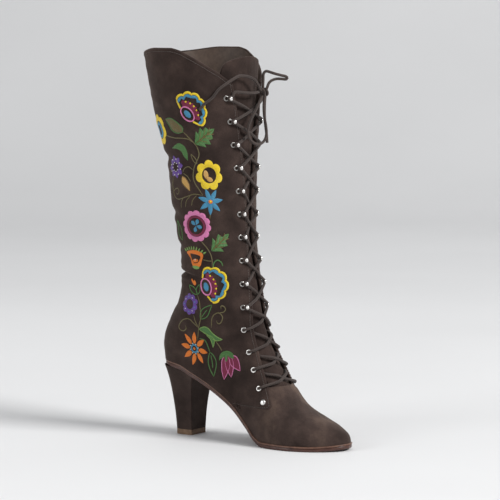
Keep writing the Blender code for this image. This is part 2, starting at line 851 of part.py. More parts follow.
def build_crossings(finish):
    """The two crossed strands between each pair of levels, joined where they cross."""
    heights = fastener_heights()
    for level in range(1, len(heights) - 1):
        low_z = heights[level] + LACE_SPREAD
        high_z = heights[level + 1] - LACE_SPREAD
        from_hook = 0.75 * (HOOK_REACH + BALL_RADIUS)
        from_eyelet = RING_RADIUS + 0.5 * LACE
        start = from_hook if level >= len(EYELET_HEIGHTS) else from_eyelet
        end = from_hook if level + 1 >= len(EYELET_HEIGHTS) else from_eyelet
        crossing = None
        for side in (-1, 1):
            low_y = row_place(low_z, side) - side * start
            high_y = -row_place(high_z, side) + side * end
            points = strand(low_z, low_y, high_z, high_y, 8)
            verts, faces = tube(points, 0.5 * LACE, 6, (1.0, 0.0, 0.1))
            if crossing is None:
                crossing = solid(f"lace_crossing_{level:02d}", verts, faces, finish)
            else:
                boolean(crossing, cutter(f"strand_{level}", verts, faces), "UNION")


# Routes of the bow's cords, in metres, chosen by hand. They keep their place to the front at the top hook.
BOW_KNOT = (
    (0.0805, 0.0108, 0.3578),
    (0.0829, 0.0112, 0.3602),
    (0.0853, 0.0124, 0.3582),
    (0.0850, 0.0136, 0.3548),
    (0.0822, 0.0142, 0.3540),
    (0.0800, 0.0150, 0.3566),
    (0.0820, 0.0160, 0.3603),
    (0.0852, 0.0170, 0.3590),
    (0.0858, 0.0180, 0.3552),
    (0.0828, 0.0186, 0.3536),
)
BOW_LOOP_FRONT = (
    (0.0829, 0.0140, 0.3626),
    (0.0826, 0.0150, 0.3705),
    (0.0822, 0.0160, 0.3755),
    (0.0836, 0.0180, 0.3782),
    (0.0860, 0.0205, 0.3777),
    (0.0899, 0.0240, 0.3760),
    (0.0940, 0.0300, 0.3741),
    (0.0972, 0.0338, 0.3730),
    (0.0986, 0.0350, 0.3715),
    (0.0974, 0.0345, 0.3699),
    (0.0940, 0.0310, 0.3703),
    (0.0904, 0.0270, 0.3703),
    (0.0880, 0.0225, 0.3688),
    (0.0867, 0.0190, 0.3660),
    (0.0864, 0.0165, 0.3617),
)
BOW_LOOP_DROP = (
    (0.0828, 0.0118, 0.3519),
    (0.0832, 0.0092, 0.3497),
    (0.0838, 0.0055, 0.3460),
    (0.0842, 0.0002, 0.3400),
    (0.0838, -0.0055, 0.3335),
    (0.0832, -0.0100, 0.3265),
    (0.0828, -0.0120, 0.3194),
    (0.0828, -0.0110, 0.3127),
    (0.0836, -0.0063, 0.3075),
    (0.0846, 0.0002, 0.3046),
    (0.0858, 0.0070, 0.3052),
    (0.0866, 0.0125, 0.3090),
    (0.0866, 0.0150, 0.3150),
    (0.0860, 0.0150, 0.3220),
    (0.0852, 0.0140, 0.3295),
    (0.0846, 0.0135, 0.3370),
    (0.0842, 0.0138, 0.3440),
    (0.0840, 0.0152, 0.3519),
)
LACE_END_BACK = (
    (0.0829, 0.0090, 0.3600),
    (0.0841, 0.0036, 0.3648),
    (0.0837, -0.0015, 0.3694),
    (0.0822, -0.0068, 0.3723),
    (0.0804, -0.0122, 0.3738),
    (0.0787, -0.0174, 0.3742),
    (0.0770, -0.0217, 0.3737),
    (0.0738, -0.0290, 0.3697),
    (0.0694, -0.0354, 0.3648),
    (0.0648, -0.0400, 0.3595),
    (0.0609, -0.0430, 0.3529),
    (0.0573, -0.0455, 0.3491),
    (0.0539, -0.0474, 0.3463),
    (0.0489, -0.0495, 0.3402),
)
LACE_END_DROP = (
    (0.0823, 0.0188, 0.3516),
    (0.0812, 0.0197, 0.3460),
    (0.0807, 0.0202, 0.3400),
    (0.0806, 0.0204, 0.3330),
    (0.0808, 0.0210, 0.3260),
    (0.0812, 0.0220, 0.3190),
    (0.0816, 0.0228, 0.3120),
    (0.0818, 0.0232, 0.3050),
)
LEAD_MEDIAL = (
    (0.0736, -0.0284, 0.3568),
    (0.0752, -0.0250, 0.3576),
    (0.0776, -0.0199, 0.3578),
    (0.0802, -0.0120, 0.3570),
    (0.0822, -0.0036, 0.3566),
    (0.0822, 0.0040, 0.3570),
    (0.0812, 0.0084, 0.3574),
)
LEAD_LATERAL = (
    (0.0735, 0.0290, 0.3568),
    (0.0768, 0.0262, 0.3578),
    (0.0800, 0.0228, 0.3572),
    (0.0827, 0.0204, 0.3557),
)
CORD_STEP = 0.0060
ROUTE_HOOK = (0.07726, 0.0, 0.35158)


def on_front(route):
    """A route moved along with the front at the top hook's height."""
    top = fastener_heights()[-1]
    moved = np.array([float(front_x(top)), 0.0, top]) - np.array(ROUTE_HOOK)
    return np.array(route) + moved


def smooth_route(route):
    """Points at even steps along a smooth curve through a route."""
    knots = on_front(route)
    padded = np.vstack((2 * knots[0] - knots[1], knots, 2 * knots[-1] - knots[-2]))
    fine = []
    for i in range(1, len(padded) - 2):
        p0, p1, p2, p3 = padded[i - 1:i + 3]
        for u in np.linspace(0.0, 1.0, 24, endpoint=False):
            a = 2 * p1 + (p2 - p0) * u + (2 * p0 - 5 * p1 + 4 * p2 - p3) * u * u
            fine.append(0.5 * (a + (3 * p1 - p0 - 3 * p2 + p3) * u**3))
    fine = np.vstack((fine, knots[-1]))
    along = np.concatenate(([0.0], np.cumsum(np.linalg.norm(np.diff(fine, axis=0), axis=1))))
    return along, fine


def cord(name, route, step, finish):
    """A round cord along a route."""
    along, fine = smooth_route(route)
    count = max(int(round(along[-1] / step)), 4) + 1
    places = np.linspace(0.0, along[-1], count)
    curve = bpy.data.curves.new(name, "CURVE")
    curve.dimensions = "3D"
    curve.bevel_depth = 0.5 * LACE
    curve.bevel_resolution = 2
    curve.use_fill_caps = True
    spline = curve.splines.new("POLY")
    spline.points.add(count - 1)
    for point, place in zip(spline.points, places):
        position = [float(np.interp(place, along, fine[:, axis])) for axis in range(3)]
        point.co = (*position, 1.0)
    curve.materials.append(finish)
    item = bpy.data.objects.new(name, curve)
    bpy.context.scene.collection.objects.link(item)
    return item


def build_leads(finish):
    """The last strands, from the top hooks to the knot."""
    for name, route in (("lace_lead_medial", LEAD_MEDIAL), ("lace_lead_lateral", LEAD_LATERAL)):
        verts, faces = tube(on_front(route), 0.5 * LACE, 6, (0.0, 0.0, 1.0))
        solid(name, verts, faces, finish)


def build_bow(finish):
    cord("bow_knot", BOW_KNOT, 0.4 * CORD_STEP, finish)
    cord("bow_loop_front", BOW_LOOP_FRONT, 0.55 * CORD_STEP, finish)
    cord("bow_loop_drop", BOW_LOOP_DROP, CORD_STEP, finish)
    cord("lace_end_back", LACE_END_BACK, CORD_STEP, finish)
    cord("lace_end_drop", LACE_END_DROP, CORD_STEP, finish)


def main():
    build_upper(SUEDE)
    build_soles(RAND_FINISH, SOLE_FINISH, LINING)
    build_heel(SUEDE_HEEL, LIFT_FINISH)
    build_tongue(SUEDE)
    build_fasteners(NICKEL)
    build_crossings(LACE_FINISH)
    build_leads(LACE_FINISH)
    build_bow(LACE_FINISH)


clear_scene()
CUTTER_FINISH = material("cutter", (0.5, 0.5, 0.5), 0.5)
SUEDE = material("suede", (0.040, 0.026, 0.021), 0.95)
SUEDE_HEEL = material("heel_suede", (0.036, 0.024, 0.020), 0.95)
RAND_FINISH = material("rand_leather", (0.16, 0.07, 0.04), 0.6)
SOLE_FINISH = material("sole_leather", (0.12, 0.045, 0.03), 0.5)
LINING = material("lining", (0.30, 0.21, 0.14), 0.8)
LIFT_FINISH = material("top_lift_rubber", (0.38, 0.22, 0.11), 0.7)
NICKEL = material("nickel", (0.75, 0.74, 0.72), 0.25, 1.0)
LACE_FINISH = material("lace_cord", (0.07, 0.05, 0.042), 0.9)
main()
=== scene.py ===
"""Looks of the lace-up boot: suede panels, embroidery, lacing, bow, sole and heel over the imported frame."""

import math

import bpy
import numpy as np
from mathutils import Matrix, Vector


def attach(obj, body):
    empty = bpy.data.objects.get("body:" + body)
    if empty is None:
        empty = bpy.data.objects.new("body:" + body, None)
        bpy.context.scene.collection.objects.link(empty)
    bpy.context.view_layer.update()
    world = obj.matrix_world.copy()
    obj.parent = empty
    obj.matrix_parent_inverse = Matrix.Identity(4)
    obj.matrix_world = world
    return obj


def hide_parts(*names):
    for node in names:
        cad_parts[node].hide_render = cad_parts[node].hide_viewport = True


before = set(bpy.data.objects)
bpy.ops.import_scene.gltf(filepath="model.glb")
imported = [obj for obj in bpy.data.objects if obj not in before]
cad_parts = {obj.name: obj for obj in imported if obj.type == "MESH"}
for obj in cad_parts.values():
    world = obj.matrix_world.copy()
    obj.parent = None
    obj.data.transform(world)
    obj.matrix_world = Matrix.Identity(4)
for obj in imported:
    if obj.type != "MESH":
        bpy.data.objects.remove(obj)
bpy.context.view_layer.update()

# Driving dimensions, in metres, as in the part's source.
BOOT_HEIGHT = 0.401
HEEL_HEIGHT = 0.079
FOOT_LENGTH = 0.2215
HEEL_SETBACK = 0.0245
BALL_WIDTH = 0.078
SHAFT_WIDTH = 0.120
WALL = 0.0020
OVERLAY = 0.0008
GAP = 0.0003
SOLE_THICKNESS = 0.0033
RAND_THICKNESS = 0.0013
SOLE_MARGIN = 0.0013
SEAT_MARGIN = 0.0004
TOP_LIFT = 0.0055
HEEL_WIDTH = 0.0466
TONGUE_THICKNESS = 0.0022
TONGUE_EASE = 0.0013
TONGUE_WIDTH = 0.070
ROW_INSET = 0.0088
HOOK_START = 0.3464 * BOOT_HEIGHT
HOOK_PITCH = 0.05893 * BOOT_HEIGHT
HOOK_COUNT = 10
RING_RADIUS = 0.0029
RING_HOLE = 0.0014
RING_THICKNESS = 0.0007
BALL_RADIUS = 0.0016
HOOK_REACH = 0.0042
LACE = 0.0029
THROAT_BOTTOM = 0.1484 * BOOT_HEIGHT
THROAT_CORNER = 0.0035
SOLE_STACK = SOLE_THICKNESS + RAND_THICKNESS + 2.0 * GAP
SHAFT_HEIGHT = BOOT_HEIGHT - HEEL_HEIGHT

# Back profile: height above the seat as a share of the shaft, x as a share of the foot length.
BACK_PROFILE = (
    (0.000, 0.000),
    (0.020, -0.003),
    (0.045, -0.003),
    (0.080, 0.006),
    (0.120, 0.027),
    (0.155, 0.054),
    (0.190, 0.083),
    (0.240, 0.102),
    (0.300, 0.108),
    (0.360, 0.096),
    (0.420, 0.079),
    (0.540, 0.050),
    (0.650, 0.033),
    (0.790, -0.027),
    (0.966, -0.077),
    (1.000, -0.086),
)

# Toe, vamp ridge, instep and shaft front: x as a share of the foot length, z of the boot height.
RIDGE_PROFILE = (
    (1.0000, 0.0175),
    (0.9982, 0.0299),
    (0.9819, 0.0436),
    (0.9413, 0.0574),
    (0.8962, 0.0673),
    (0.8239, 0.0823),
    (0.7517, 0.1022),
    (0.6975, 0.1272),
    (0.6433, 0.1671),
    (0.6027, 0.2120),
    (0.5666, 0.2569),
    (0.5395, 0.3042),
    (0.5102, 0.3641),
    (0.4853, 0.4239),
    (0.4650, 0.4888),
    (0.4546, 0.5536),
    (0.4524, 0.6284),
    (0.4528, 0.7232),
    (0.4564, 0.8304),
    (0.4682, 0.9726),
    (0.4709, 1.0000),
)

# Height above the seat, half-width, place of the widest point, roundness of the back and of the front.
SHAFT_SECTIONS = (
    (-0.250, 0.205, 0.24, 2.3, 1.8),
    (0.000, 0.205, 0.24, 2.3, 1.8),
    (0.065, 0.248, 0.27, 2.2, 1.8),
    (0.120, 0.272, 0.32, 2.1, 1.8),
    (0.190, 0.286, 0.40, 2.0, 1.9),
    (0.300, 0.284, 0.48, 2.0, 2.0),
    (0.420, 0.303, 0.50, 2.0, 2.0),
    (0.540, 0.338, 0.50, 2.0, 2.0),
    (0.650, 0.366, 0.50, 2.0, 2.0),
    (0.790, 0.433, 0.50, 2.0, 2.0),
    (0.966, 0.492, 0.50, 2.0, 2.0),
    (1.000, 0.500, 0.50, 2.0, 2.0),
)

# Plan outline at the feather line: x as a share of the foot length, medial and lateral half-widths.
SOLE_OUTLINE = (
    (0.000, 0.000, 0.000),
    (0.006, 0.090, 0.090),
    (0.021, 0.165, 0.165),
    (0.062, 0.262, 0.262),
    (0.125, 0.312, 0.312),
    (0.197, 0.318, 0.322),
    (0.291, 0.292, 0.320),
    (0.405, 0.262, 0.338),
    (0.515, 0.312, 0.408),
    (0.617, 0.415, 0.488),
    (0.699, 0.468, 0.520),
    (0.767, 0.476, 0.507),
    (0.830, 0.436, 0.462),
    (0.893, 0.355, 0.372),
    (0.942, 0.250, 0.262),
    (0.978, 0.152, 0.158),
    (0.993, 0.082, 0.084),
    (1.000, 0.000, 0.000),
)

# Feather line: x as a share of the foot length, z from the flat forefoot to the heel seat.
FEATHER_LINE = (
    (0.000, 1.000),
    (0.125, 0.952),
    (0.197, 0.856),
    (0.249, 0.783),
    (0.291, 0.716),
    (0.405, 0.484),
    (0.505, 0.218),
    (0.563, 0.066),
    (0.625, 0.000),
    (0.740, 0.000),
    (0.854, 0.000),
    (0.940, 0.012),
    (1.000, 0.034),
)

# Heel block: height as a share, back and breast of the foot length, half-width of the heel's width.
HEEL_SECTIONS = (
    (0.00, 0.0590, 0.1625, 0.268),
    (0.25, 0.0520, 0.1650, 0.290),
    (0.50, 0.0410, 0.1700, 0.326),
    (0.72, 0.0290, 0.1770, 0.374),
    (0.88, 0.0180, 0.1860, 0.430),
    (1.00, 0.0080, 0.1960, 0.492),
)

# Front edges of the facings: height as a share of the boot, half the gap as a share of the shaft width.
THROAT = (
    (0.1000, 0.228),
    (0.1270, 0.191),
    (0.1560, 0.174),
    (0.1860, 0.154),
    (0.2100, 0.142),
    (0.2370, 0.127),
    (0.2670, 0.115),
    (0.3200, 0.102),
    (0.4100, 0.075),
    (0.4620, 0.054),
    (0.5200, 0.042),
    (0.5820, 0.046),
    (0.6390, 0.058),
    (0.7000, 0.079),
    (0.7600, 0.112),
    (0.8180, 0.146),
    (0.8760, 0.186),
    (0.9200, 0.220),
    (1.1000, 0.300),
)

# Collar line: x from the middle of the shaft's top as a share of the shaft width, height of the boot.
COLLAR = (
    (-0.746, 0.9860),
    (-0.516, 0.9850),
    (-0.396, 0.9900),
    (-0.166, 1.0000),
    (-0.016, 1.0010),
    (0.097, 0.9945),
    (0.168, 0.9836),
    (0.241, 0.9703),
    (0.294, 0.9592),
    (0.346, 0.9465),
    (0.386, 0.9360),
    (0.426, 0.9208),
    (0.454, 0.9105),
    (0.654, 0.8500),
)

EYELET_HEIGHTS = (0.1125, 0.1454, 0.1903, 0.2334, 0.2888)

# The tongue: height as a share of the boot, half-width of the tongue's half-width.
TONGUE_OUTLINE = (
    (0.122, 0.46),
    (0.200, 0.56),
    (0.320, 0.64),
    (0.500, 0.72),
    (0.750, 0.84),
    (0.870, 0.95),
    (0.925, 1.00),
    (0.950, 0.96),
    (0.964, 0.84),
    (0.972, 0.62),
    (0.9765, 0.38),
    (0.9785, 0.06),
)

# Front edge of the quarters over the vamp: x as a share of the foot length, height of the boot.
QUARTER_EDGE = (
    (0.365, 0.040),
    (0.395, 0.085),
    (0.440, 0.096),
    (0.520, 0.098),
    (0.600, 0.098),
    (0.650, 0.099),
    (0.659, 0.104),
)

# Heights at which a ring leaves the back, of the shaft, and meets the ridge, of the ridge's length.
RING_LEVELS = (
    (0.000, 0.000),
    (0.030, 0.060),
    (0.065, 0.140),
    (0.110, 0.235),
    (0.170, 0.330),
    (0.260, 0.430),
    (0.400, 0.550),
    (0.600, 0.700),
    (0.800, 0.850),
    (1.000, 1.000),
)


def column(table, index):
    return np.array([row[index] for row in table])


def smooth(x, xs, ys):
    """Monotone cubic through a table's points, level beyond its ends."""
    x = np.clip(np.asarray(x, dtype=float), xs[0], xs[-1])
    step = np.diff(xs)
    slope = np.diff(ys) / step
    tangent = np.zeros(len(xs))
    tangent[0] = slope[0]
    tangent[-1] = slope[-1]
    for i in range(1, len(xs) - 1):
        if slope[i - 1] * slope[i] > 0.0:
            w1 = 2.0 * step[i] + step[i - 1]
            w2 = step[i] + 2.0 * step[i - 1]
            tangent[i] = (w1 + w2) / (w1 / slope[i - 1] + w2 / slope[i])
    i = np.clip(np.searchsorted(xs, x, side="right") - 1, 0, len(xs) - 2)
    u = (x - xs[i]) / step[i]
    rise = (1 + 2 * u) * (1 - u) ** 2 * ys[i] + u * u * (3 - 2 * u) * ys[i + 1]
    return rise + step[i] * (u * (1 - u) ** 2 * tangent[i] - u * u * (1 - u) * tangent[i + 1])


def ease(low, high, x):
    u = np.clip((np.asarray(x, dtype=float) - low) / (high - low), 0.0, 1.0)
    return u * u * (3.0 - 2.0 * u)


def travelled(line):
    """Distance along a line of points, for each point."""
    return np.concatenate(([0.0], np.cumsum(np.linalg.norm(np.diff(line, axis=0), axis=1))))


def sampled(places, along, rows):
    """The columns of rows, read at other places along them."""
    return np.column_stack([np.interp(places, along, rows[:, i]) for i in range(rows.shape[1])])


def feather_z(x):
    share = (np.asarray(x) + HEEL_SETBACK) / FOOT_LENGTH
    rise = smooth(share, column(FEATHER_LINE, 0), column(FEATHER_LINE, 1))
    return SOLE_STACK + rise * (HEEL_HEIGHT - SOLE_STACK)


def ridge_curve():
    x = column(RIDGE_PROFILE, 0) * FOOT_LENGTH - HEEL_SETBACK
    z = column(RIDGE_PROFILE, 1) * BOOT_HEIGHT
    z[0] = feather_z(x[0])
    along = np.concatenate(([0.0], np.cumsum(np.hypot(np.diff(x), np.diff(z)))))
    fine = np.linspace(0.0, along[-1], 600)
    return fine / along[-1], smooth(fine, along, x), smooth(fine, along, z)


RIDGE_SHARE, RIDGE_X, RIDGE_Z = ridge_curve()


def front_x(z):
    return np.interp(z, RIDGE_Z, RIDGE_X)


def ridge_z(x):
    low = int(np.searchsorted(RIDGE_Z, 0.45 * BOOT_HEIGHT))
    return np.interp(x, RIDGE_X[:low][::-1], RIDGE_Z[:low][::-1])


def back_x(z):
    share = (np.asarray(z) - HEEL_HEIGHT) / SHAFT_HEIGHT
    return smooth(share, column(BACK_PROFILE, 0), column(BACK_PROFILE, 1)) * FOOT_LENGTH - HEEL_SETBACK


def sole_bottom(x):
    return feather_z(x) - SOLE_STACK


def outline_half(x, lateral):
    share = (np.asarray(x) + HEEL_SETBACK) / FOOT_LENGTH
    rows = column(SOLE_OUTLINE, 2 if lateral else 1)
    return smooth(share, column(SOLE_OUTLINE, 0), rows) * BALL_WIDTH


def half_width(x, z, lateral):
    """Half-width of the upper at a place of its side profile."""
    share = (z - HEEL_HEIGHT) / SHAFT_HEIGHT
    heights = column(SHAFT_SECTIONS, 0)
    widest_half = smooth(share, heights, column(SHAFT_SECTIONS, 1)) * SHAFT_WIDTH
    widest = smooth(share, heights, column(SHAFT_SECTIONS, 2))
    back_power = smooth(share, heights, column(SHAFT_SECTIONS, 3))
    front_power = smooth(share, heights, column(SHAFT_SECTIONS, 4))
    back = back_x(z)
    front = front_x(z)
    middle = back + widest * (front - back)
    towards_back = np.clip((middle - x) / (middle - back), 0.0, 1.0)
    towards_front = np.clip((x - middle) / (front - middle), 0.0, 1.0)
    shaft = np.where(
        x < middle,
        (1.0 - towards_back**back_power) ** (1.0 / back_power),
        (1.0 - towards_front**front_power) ** (1.0 / front_power),
    )
    shaft = shaft * widest_half
    floor = feather_z(x)
    up = np.clip((z - floor) / np.maximum(ridge_z(x) - floor, 1e-6), 0.0, 1.0)
    dome = outline_half(x, lateral) * (1.0 - up**2.1) ** (1.0 / 1.9)
    foot = ease(0.20, 0.55, (x + HEEL_SETBACK) / FOOT_LENGTH)
    foot = foot * (1.0 - ease(0.20, 0.34, z / BOOT_HEIGHT))
    return shaft * (1.0 - foot) + dome * foot


def ring_profile(level, t):
    """Side-profile points of a ring, from the back (t=0) to the ridge (t=1)."""
    levels = np.linspace(0.0, 1.0, len(RING_LEVELS))
    back_share = smooth(level, levels, column(RING_LEVELS, 0))
    ridge_share = smooth(level, levels, column(RING_LEVELS, 1))
    z0 = HEEL_HEIGHT + back_share * SHAFT_HEIGHT
    x0 = back_x(z0)
    x1 = np.interp(ridge_share, RIDGE_SHARE, RIDGE_X)
    z1 = np.interp(ridge_share, RIDGE_SHARE, RIDGE_Z)
    x = x0 + t * (x1 - x0)
    z = z0 + t * (z1 - z0)
    base_x = -HEEL_SETBACK + t * FOOT_LENGTH
    chord = HEEL_HEIGHT + t * (feather_z(FOOT_LENGTH) - HEEL_HEIGHT)
    sag = feather_z(base_x) - chord
    return x, z + sag * (1.0 - ease(0.0, 0.62, level))


def surface(level, t, lateral):
    """Points of the upper's outside on one side, for arrays of one shape."""
    x, z = ring_profile(level, t)
    y = half_width(x, z, lateral)
    y = np.where((t <= 0.0) | (t >= 1.0), 0.0, y)
    return np.stack((x, y if lateral else -y, z), axis=-1)


def unit(v):
    return v / np.maximum(np.linalg.norm(v, axis=-1, keepdims=True), 1e-12)


def surface_normal(level, t, lateral):
    """Unit normals of the outside, from short steps along and between the rings."""
    step = 0.0008
    forward, backward = np.clip(t + step, 0.0, 1.0), np.clip(t - step, 0.0, 1.0)
    above, below = np.clip(level + step, 0.0, 1.0), np.clip(level - step, 0.0, 1.0)
    ahead = surface(level, forward, lateral) - surface(level, backward, lateral)
    rise = surface(above, t, lateral) - surface(below, t, lateral)
    return unit(np.cross(rise, ahead) if lateral else np.cross(ahead, rise))


def throat_half(z):
    rows = column(THROAT, 1) * SHAFT_WIDTH
    return smooth(np.asarray(z) / BOOT_HEIGHT, column(THROAT, 0), rows)


def collar_z(x):
    axis = float(back_x(BOOT_HEIGHT) + front_x(BOOT_HEIGHT)) / 2.0
    return smooth((x - axis) / SHAFT_WIDTH, column(COLLAR, 0), column(COLLAR, 1)) * BOOT_HEIGHT


# How far back a section of the front reaches, as a share of the shaft width, and its points.
FRONT_REACH = 0.42
FRONT_POINTS = 160


def front_section(z):
    """The upper's front at one height: x for each distance from the middle."""
    x = np.linspace(front_x(z), front_x(z) - FRONT_REACH * SHAFT_WIDTH, FRONT_POINTS)
    heights = np.full(FRONT_POINTS, z)
    return [np.maximum.accumulate(half_width(x, heights, side)) for side in (False, True)], x


def front_point(z, y):
    halves, x = front_section(z)
    half = halves[1 if y > 0.0 else 0]
    return np.array([np.interp(abs(y), half, x), y, z])


def front_frame(z, y):
    """Point, outward normal, direction towards the opening and upward direction on the front."""
    point = front_point(z, y)
    step = 0.0004
    lateral = y > 0.0
    x = np.array([point[0] - step, point[0] + step, point[0], point[0]])
    heights = np.array([z, z, z - step, z + step])
    halves = half_width(x, heights, lateral)
    slope_x = (halves[1] - halves[0]) / (2.0 * step)
    slope_z = (halves[3] - halves[2]) / (2.0 * step)
    normal = np.array([-slope_x, 1.0 if lateral else -1.0, -slope_z])
    normal /= np.linalg.norm(normal)
    inward = np.cross(normal, (0.0, 0.0, 1.0))
    inward /= np.linalg.norm(inward)
    if inward[0] < 0.0:
        inward = -inward
    upward = np.cross(normal, inward)
    return point, normal, inward, upward if upward[2] > 0.0 else -upward


def row_place(z, side):
    """Sideways place of a row of fasteners, set in from the facing's edge along the surface."""
    halves, x = front_section(z)
    half = halves[1 if side > 0 else 0]
    along = np.concatenate(([0.0], np.cumsum(np.hypot(np.diff(half), np.diff(x)))))
    edge = np.interp(float(throat_half(z)), half, along)
    return side * float(np.interp(edge + ROW_INSET, along, half))


def fastener_heights():
    low = [share * BOOT_HEIGHT for share in EYELET_HEIGHTS]
    return low + [HOOK_START + i * HOOK_PITCH for i in range(HOOK_COUNT)]


# The leather's soft troughs (depth above 0) and rolls (below 0), given in the side view:
# depth and half-width in mm, which sides, then places as x and height in mm.
CREASES = (
    (3.0, 2.2, "both", (-8, 172.5), (6, 171.5), (20, 170), (34, 168.5), (44, 167.5)),
    (-1.5, 5.0, "both", (-6, 181), (8, 181), (22, 179)),
    (-0.8, 4.0, "both", (-6, 163), (8, 162), (20, 161)),
    (1.3, 3.5, "both", (-8, 200), (4, 199), (16, 196)),
    (-0.7, 5.0, "both", (-8, 211), (6, 210), (18, 208)),
    (1.2, 4.0, "both", (-12, 234), (0, 233), (12, 231), (22, 228)),
    (-0.8, 6.0, "both", (-14, 248), (0, 247), (14, 244)),
    (1.4, 4.5, "both", (-22, 291), (-10, 290), (4, 287), (16, 283)),
    (-0.9, 7.0, "both", (-24, 303), (-8, 302), (8, 299)),
    (0.8, 5.0, "medial", (20, 150), (34, 146), (48, 143), (60, 141)),
    (0.6, 5.0, "medial", (24, 131), (40, 127), (56, 124)),
    (0.7, 6.0, "medial", (26, 190), (40, 185), (54, 176)),
    (0.6, 6.0, "medial", (14, 262), (30, 255), (46, 250)),
    (0.8, 5.0, "lateral", (18, 152), (34, 148), (50, 143)),
    (0.7, 6.0, "lateral", (22, 189), (38, 184), (54, 178)),
    (0.7, 6.0, "lateral", (10, 265), (28, 258), (46, 252)),
    (0.9, 5.0, "both", (104, 52), (112, 58), (119, 66)),
    (-0.6, 6.0, "both", (112, 47), (124, 54), (132, 60)),
    (0.6, 5.0, "both", (122, 33), (132, 38), (141, 44)),
    (0.4, 6.0, "both", (-22, 120), (-10, 118), (6, 114)),
)


def crease_shift(points, side):
    """How far the leather stands out of its plain surface at each point."""
    flat = points[..., (0, 2)] * 1000.0
    shift = np.zeros(flat.shape[:-1])
    for depth, width, where, *places in CREASES:
        if where not in ("both", side):
            continue
        line = np.array(places, dtype=float)
        nearest = np.full(shift.shape, 1e9)
        share = np.zeros(shift.shape)
        for i in range(len(line) - 1):
            start, run = line[i], line[i + 1] - line[i]
            u = np.clip(((flat - start) @ run) / (run @ run), 0.0, 1.0)
            gap = np.linalg.norm(flat - start - u[..., None] * run, axis=-1)
            closer = gap < nearest
            nearest = np.where(closer, gap, nearest)
            share = np.where(closer, (i + u) / (len(line) - 1), share)
        fade = 1.0 - ease(0.45, 1.0, share)
        shift -= 0.001 * depth * fade * np.exp(-((nearest / width) ** 2))
        if depth > 0.0:
            shift += 0.00035 * depth * fade * np.exp(-(((nearest - 1.9 * width) / width) ** 2))
    x, y, z = (points[..., i] * 1000.0 for i in range(3))
    shift += 0.00016 * np.sin(0.31 * z + 0.17 * x + 1.3) * np.sin(0.23 * x - 0.11 * z + 0.19 * y)
    shift += 0.00012 * np.sin(0.52 * z - 0.26 * y + 0.4) * np.sin(0.41 * y + 0.33 * x + 0.7)
    return shift


def in_quarter(points):
    """Whether points of the outside belong to the quarters, as the source cuts them."""
    x, y, z = (points[..., i] for i in range(3))
    edge_x = column(QUARTER_EDGE, 0) * FOOT_LENGTH - HEEL_SETBACK
    edge_z = column(QUARTER_EDGE, 1) * BOOT_HEIGHT
    step = THROAT_BOTTOM + THROAT_CORNER
    probe = np.linspace(edge_x[-1] - 0.15 * SHAFT_WIDTH, edge_x[-1], 60)
    widths = half_width(probe, np.full(60, step), False)
    meet = float(np.interp(-float(throat_half(step)), -widths, probe))
    above = z > np.interp(x, edge_x, edge_z)
    behind = x < np.interp(z, (edge_z[-1], step), (edge_x[-1], meet))
    low = above & behind
    deep = x < front_x(z) - 0.25 * SHAFT_WIDTH
    return np.where(z < step, low, deep | (np.abs(y) > throat_half(z)))


def quarter_ends(levels, lateral):
    """Where each ring leaves the quarter, as a share of the way to the ridge."""
    t = np.linspace(0.0, 1.0, 1600)
    ends = []
    for level in levels:
        inside = in_quarter(surface(np.full(t.shape, level), t, lateral))
        inside[:200] = True
        ends.append(t[int(np.argmin(inside))] if not inside.all() else 1.0)
    return np.array(ends)


def even_rows(levels, starts, ends, columns, lateral):
    """Rows of evenly spaced points, with normals, between two shares of each ring."""
    turn = 0.5 - 0.5 * np.cos(np.linspace(0.0, math.pi, 360))
    rows = []
    for level, start, end in zip(levels, starts, ends):
        t = start + (end - start) * turn
        at = np.full(t.shape, level)
        line = np.column_stack((surface(at, t, lateral), surface_normal(at, t, lateral)))
        along = travelled(line[:, :3])
        rows.append(sampled(np.linspace(0.0, along[-1], columns), along, line))
    return np.array(rows)


def even_levels(rows, tops, count):
    """The rows spaced evenly up each column, from the first row to a top of its own."""
    steps = np.linalg.norm(np.diff(rows[..., :3], axis=0), axis=2).mean(axis=1)
    place = np.concatenate(([0.0], np.cumsum(steps)))
    index = np.arange(len(rows))
    columns = []
    for j in range(rows.shape[1]):
        top = np.interp(tops[j], index, place)
        columns.append(sampled(np.linspace(0.0, top, count), place, rows[:, j]))
    return np.stack(columns, axis=1)


# Rows and columns of a quarter's mesh, and the rings that it is drawn from.
ROWS = 330
COLUMNS = 150
RINGS = 420


def quarter_grid(lateral):
    """Base grid of one quarter: rows from the feather line to the collar, columns from the back seam."""
    levels = np.linspace(0.0, 1.0, RINGS)
    rows = even_rows(levels, np.zeros(RINGS), quarter_ends(levels, lateral), COLUMNS, lateral)
    over = rows[..., 2] - collar_z(rows[..., 0])
    tops = []
    for j in range(rows.shape[1]):
        passed = np.nonzero(over[:, j] > 0.0)[0]
        if len(passed) == 0:
            tops.append(len(levels) - 1.0)
            continue
        i = passed[0]
        tops.append(i - 1 + over[i - 1, j] / (over[i - 1, j] - over[i, j]))
    return even_levels(rows, tops, ROWS)


# Objects and meshes.


def new_object(name, data):
    item = bpy.data.objects.new(name, data)
    bpy.context.scene.collection.objects.link(item)
    return item


